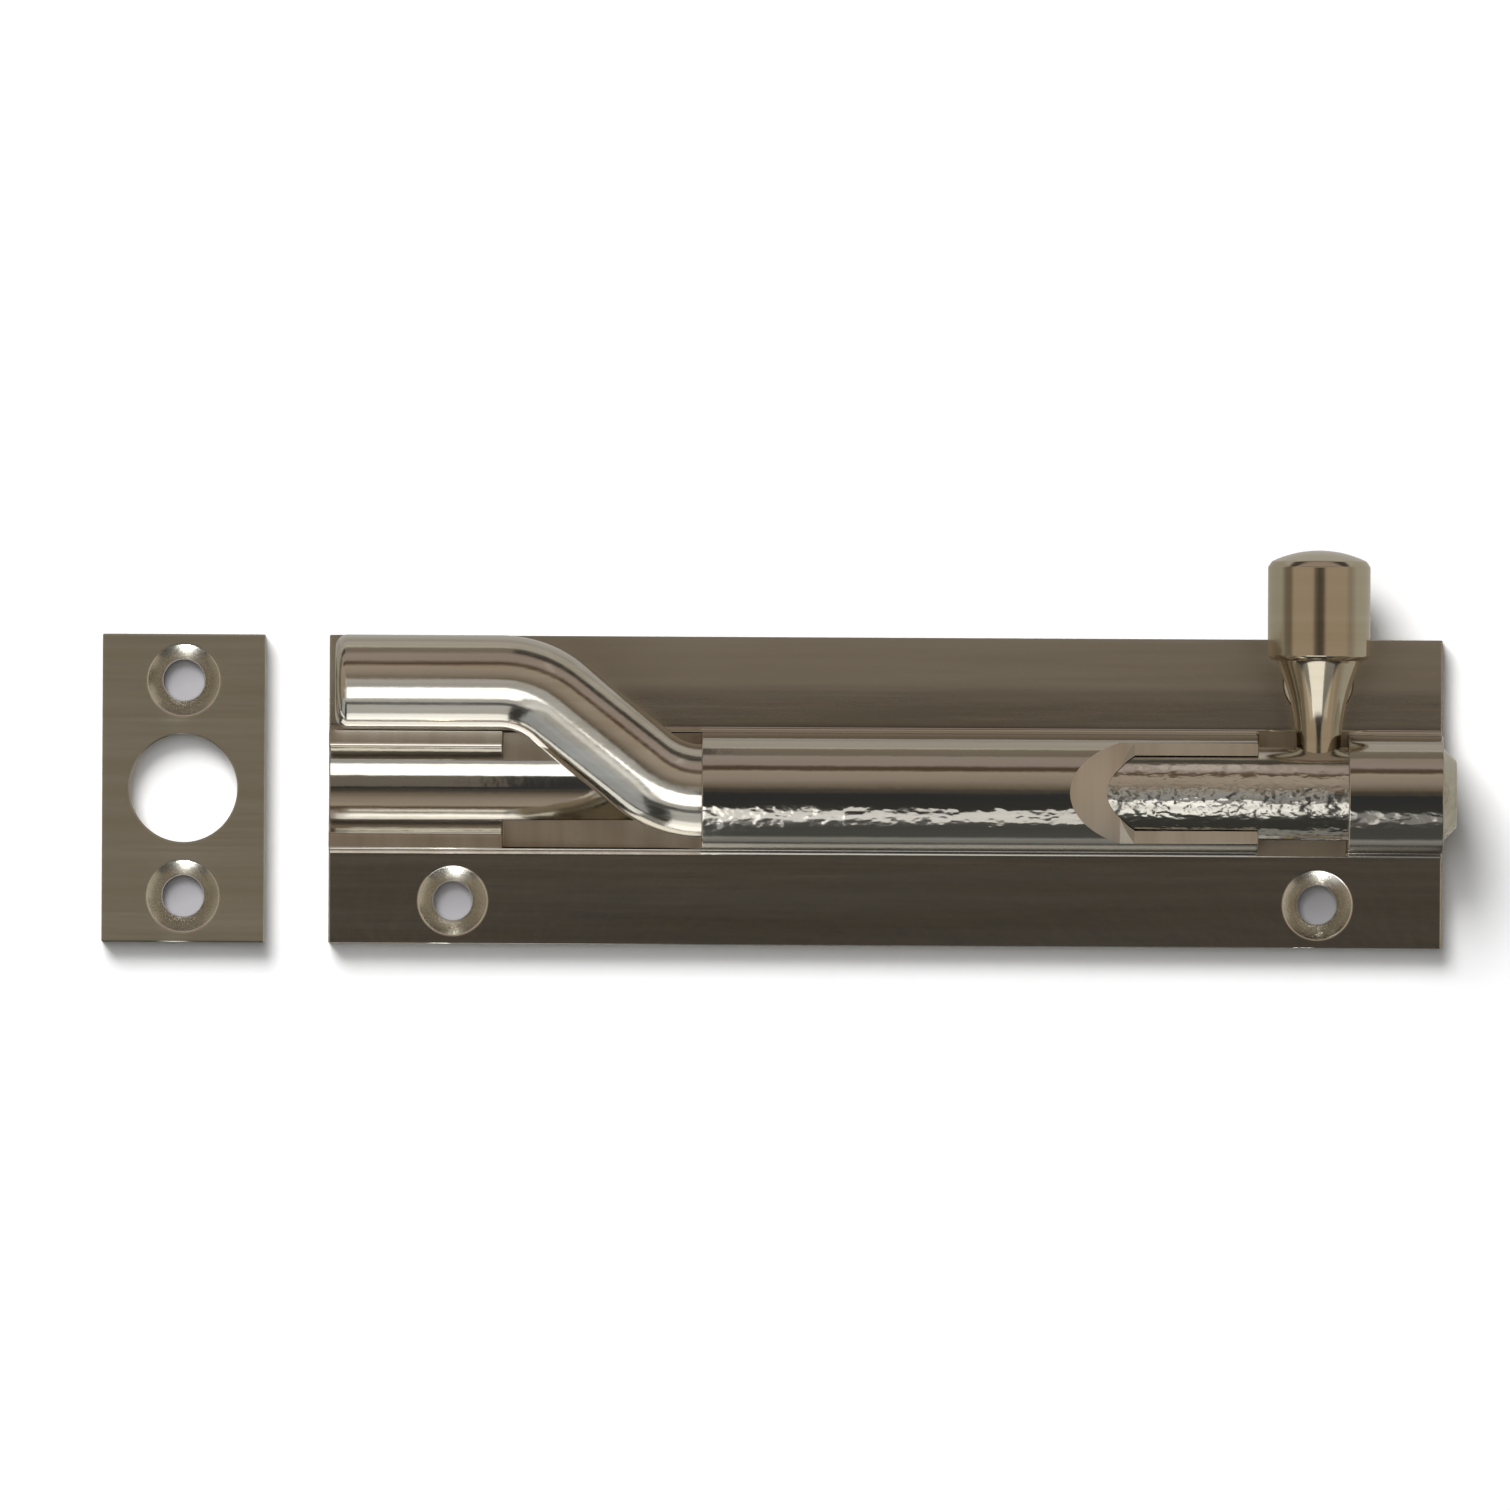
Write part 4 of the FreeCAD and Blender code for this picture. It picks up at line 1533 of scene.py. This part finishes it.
    def hang_sky(self) -> None:
        """Make the sky that the metal reflects, out of bands that run along and across the bolt."""
        world = bpy.data.worlds.new("banded_studio_sky")
        bpy.context.scene.world = world
        # The walls of the studio show in the metal and send no light to the floor
        world.cycles_visibility.diffuse = False
        world.use_nodes = True
        tree = world.node_tree
        tree.nodes.clear()
        way = add_node(tree, "ShaderNodeTexCoord").outputs["Generated"]
        parts = add_node(tree, "ShaderNodeSeparateXYZ", {"Vector": way}).outputs
        bands = []
        for side, sky in (("Y", self.sky_across), ("X", self.sky_along)):
            angle = add_node(tree, "ShaderNodeMath", {
                0: parts[side], 1: parts["Z"]}, operation="ARCTAN2")
            share = add_node(tree, "ShaderNodeMapRange", {
                "Value": angle.outputs["Value"], "From Min": -math.pi, "From Max": math.pi})
            stops = [((degrees + 180) / 360, (*glow, 1.0)) for degrees, glow in sky]
            bands.append(add_node(
                tree, "ShaderNodeValToRGB", {"Fac": share.outputs["Result"]}, stops))
        along, across = (
            add_node(tree, "ShaderNodeMath", {0: parts[side]}, operation="ABSOLUTE").outputs["Value"]
            for side in ("X", "Y"))
        lead = add_node(tree, "ShaderNodeMath", {0: along, 1: across}, operation="SUBTRACT")
        choice = add_node(tree, "ShaderNodeMapRange", {
            "Value": lead.outputs["Value"], "From Min": -self.corner_blend,
            "From Max": self.corner_blend}, interpolation_type="SMOOTHSTEP")
        mixed = add_node(tree, "ShaderNodeMix", {
            "Factor": choice.outputs["Result"], 6: bands[0].outputs["Color"],
            7: bands[1].outputs["Color"]}, data_type="RGBA")
        sky = add_node(tree, "ShaderNodeBackground", {"Color": mixed.outputs[2], "Strength": 1.0})
        add_node(tree, "ShaderNodeOutputWorld", {"Surface": sky.outputs["Background"]})

    def hang_lights(self) -> None:
        """Hang the lights over the floor, and the strips, the glints and the cards for the metal."""
        for light in FLOOR_LIGHTS:
            light.hang().visible_glossy = False
        for strip in STRIPS:
            self.hang_strip(strip)
        # A small light before each countersink that shows puts a white spot on its far side
        for number, (x, y) in enumerate(self.lit_places):
            foot = Vector((x, y, 0.0))
            PanelLight(
                name=f"countersink_glint_{number}", place=(foot + Vector(self.glint_offset)) * MM,
                size=self.glint_size, radiance=self.glint_radiance,
                aim=(foot + Vector(self.glint_aim)) * MM, pieces=(BARREL, KEEP), beam=self.glint_beam,
            ).hang()
        for card in CARDS:
            card.hang()

    def hang_strip(self, strip: StripLight) -> None:
        """Hang one strip light so that it covers its angles, as seen from the bolt.

        Args:
            strip: The strip.
        """
        low, high = (math.radians(angle) for angle in strip.angles)
        middle = (low + high) / 2
        aim = Vector((sum(strip.reach) / 2, 0.0, self.mirror_height))
        place = aim + Vector((0.0, math.sin(middle), math.cos(middle))) * self.strip_distance
        size = strip.reach[1] - strip.reach[0], 2 * self.strip_distance * math.tan((high - low) / 2)
        light = PanelLight(strip.name, place, size, strip.radiance, aim, (strip.piece,)).hang()
        light.data.color = to_linear(strip.tint)[:3]

    def set_camera(self) -> None:
        """Set the camera high above the object, with the long lens of the photograph."""
        clear_bench()
        bpy.ops.object.camera_add(
            location=(*self.frame_centre, self.camera_height),
            rotation=(0.0, 0.0, math.radians(self.camera_roll)))
        camera = bpy.context.object
        camera.name = camera.data.name = "camera"
        camera.data.sensor_width = self.sensor
        camera.data.lens = self.sensor * self.camera_height / self.frame_width
        camera.data.clip_end = 20.0
        bpy.context.scene.camera = camera
        bpy.context.scene.view_settings.view_transform = "Standard"


def main() -> None:
    """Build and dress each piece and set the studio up."""
    logging.basicConfig(level=logging.INFO, format="%(name)s: %(message)s")
    plate, keep = BarrelPlate(), KeepPlate()
    plate.build()
    SwanNeckBolt().build()
    Knob().build()
    keep.build()
    FrictionRing().dress()
    holes = plate.screw_places() + keep.screw_places()
    # The neck and the knob hang over the plate's two holes at +Y
    open_holes = [(x, y) for x, y in plate.screw_places() if y < 0] + keep.screw_places()
    Studio(screw_places=holes, lit_places=open_holes).build()


if __name__ == "__main__":
    main()
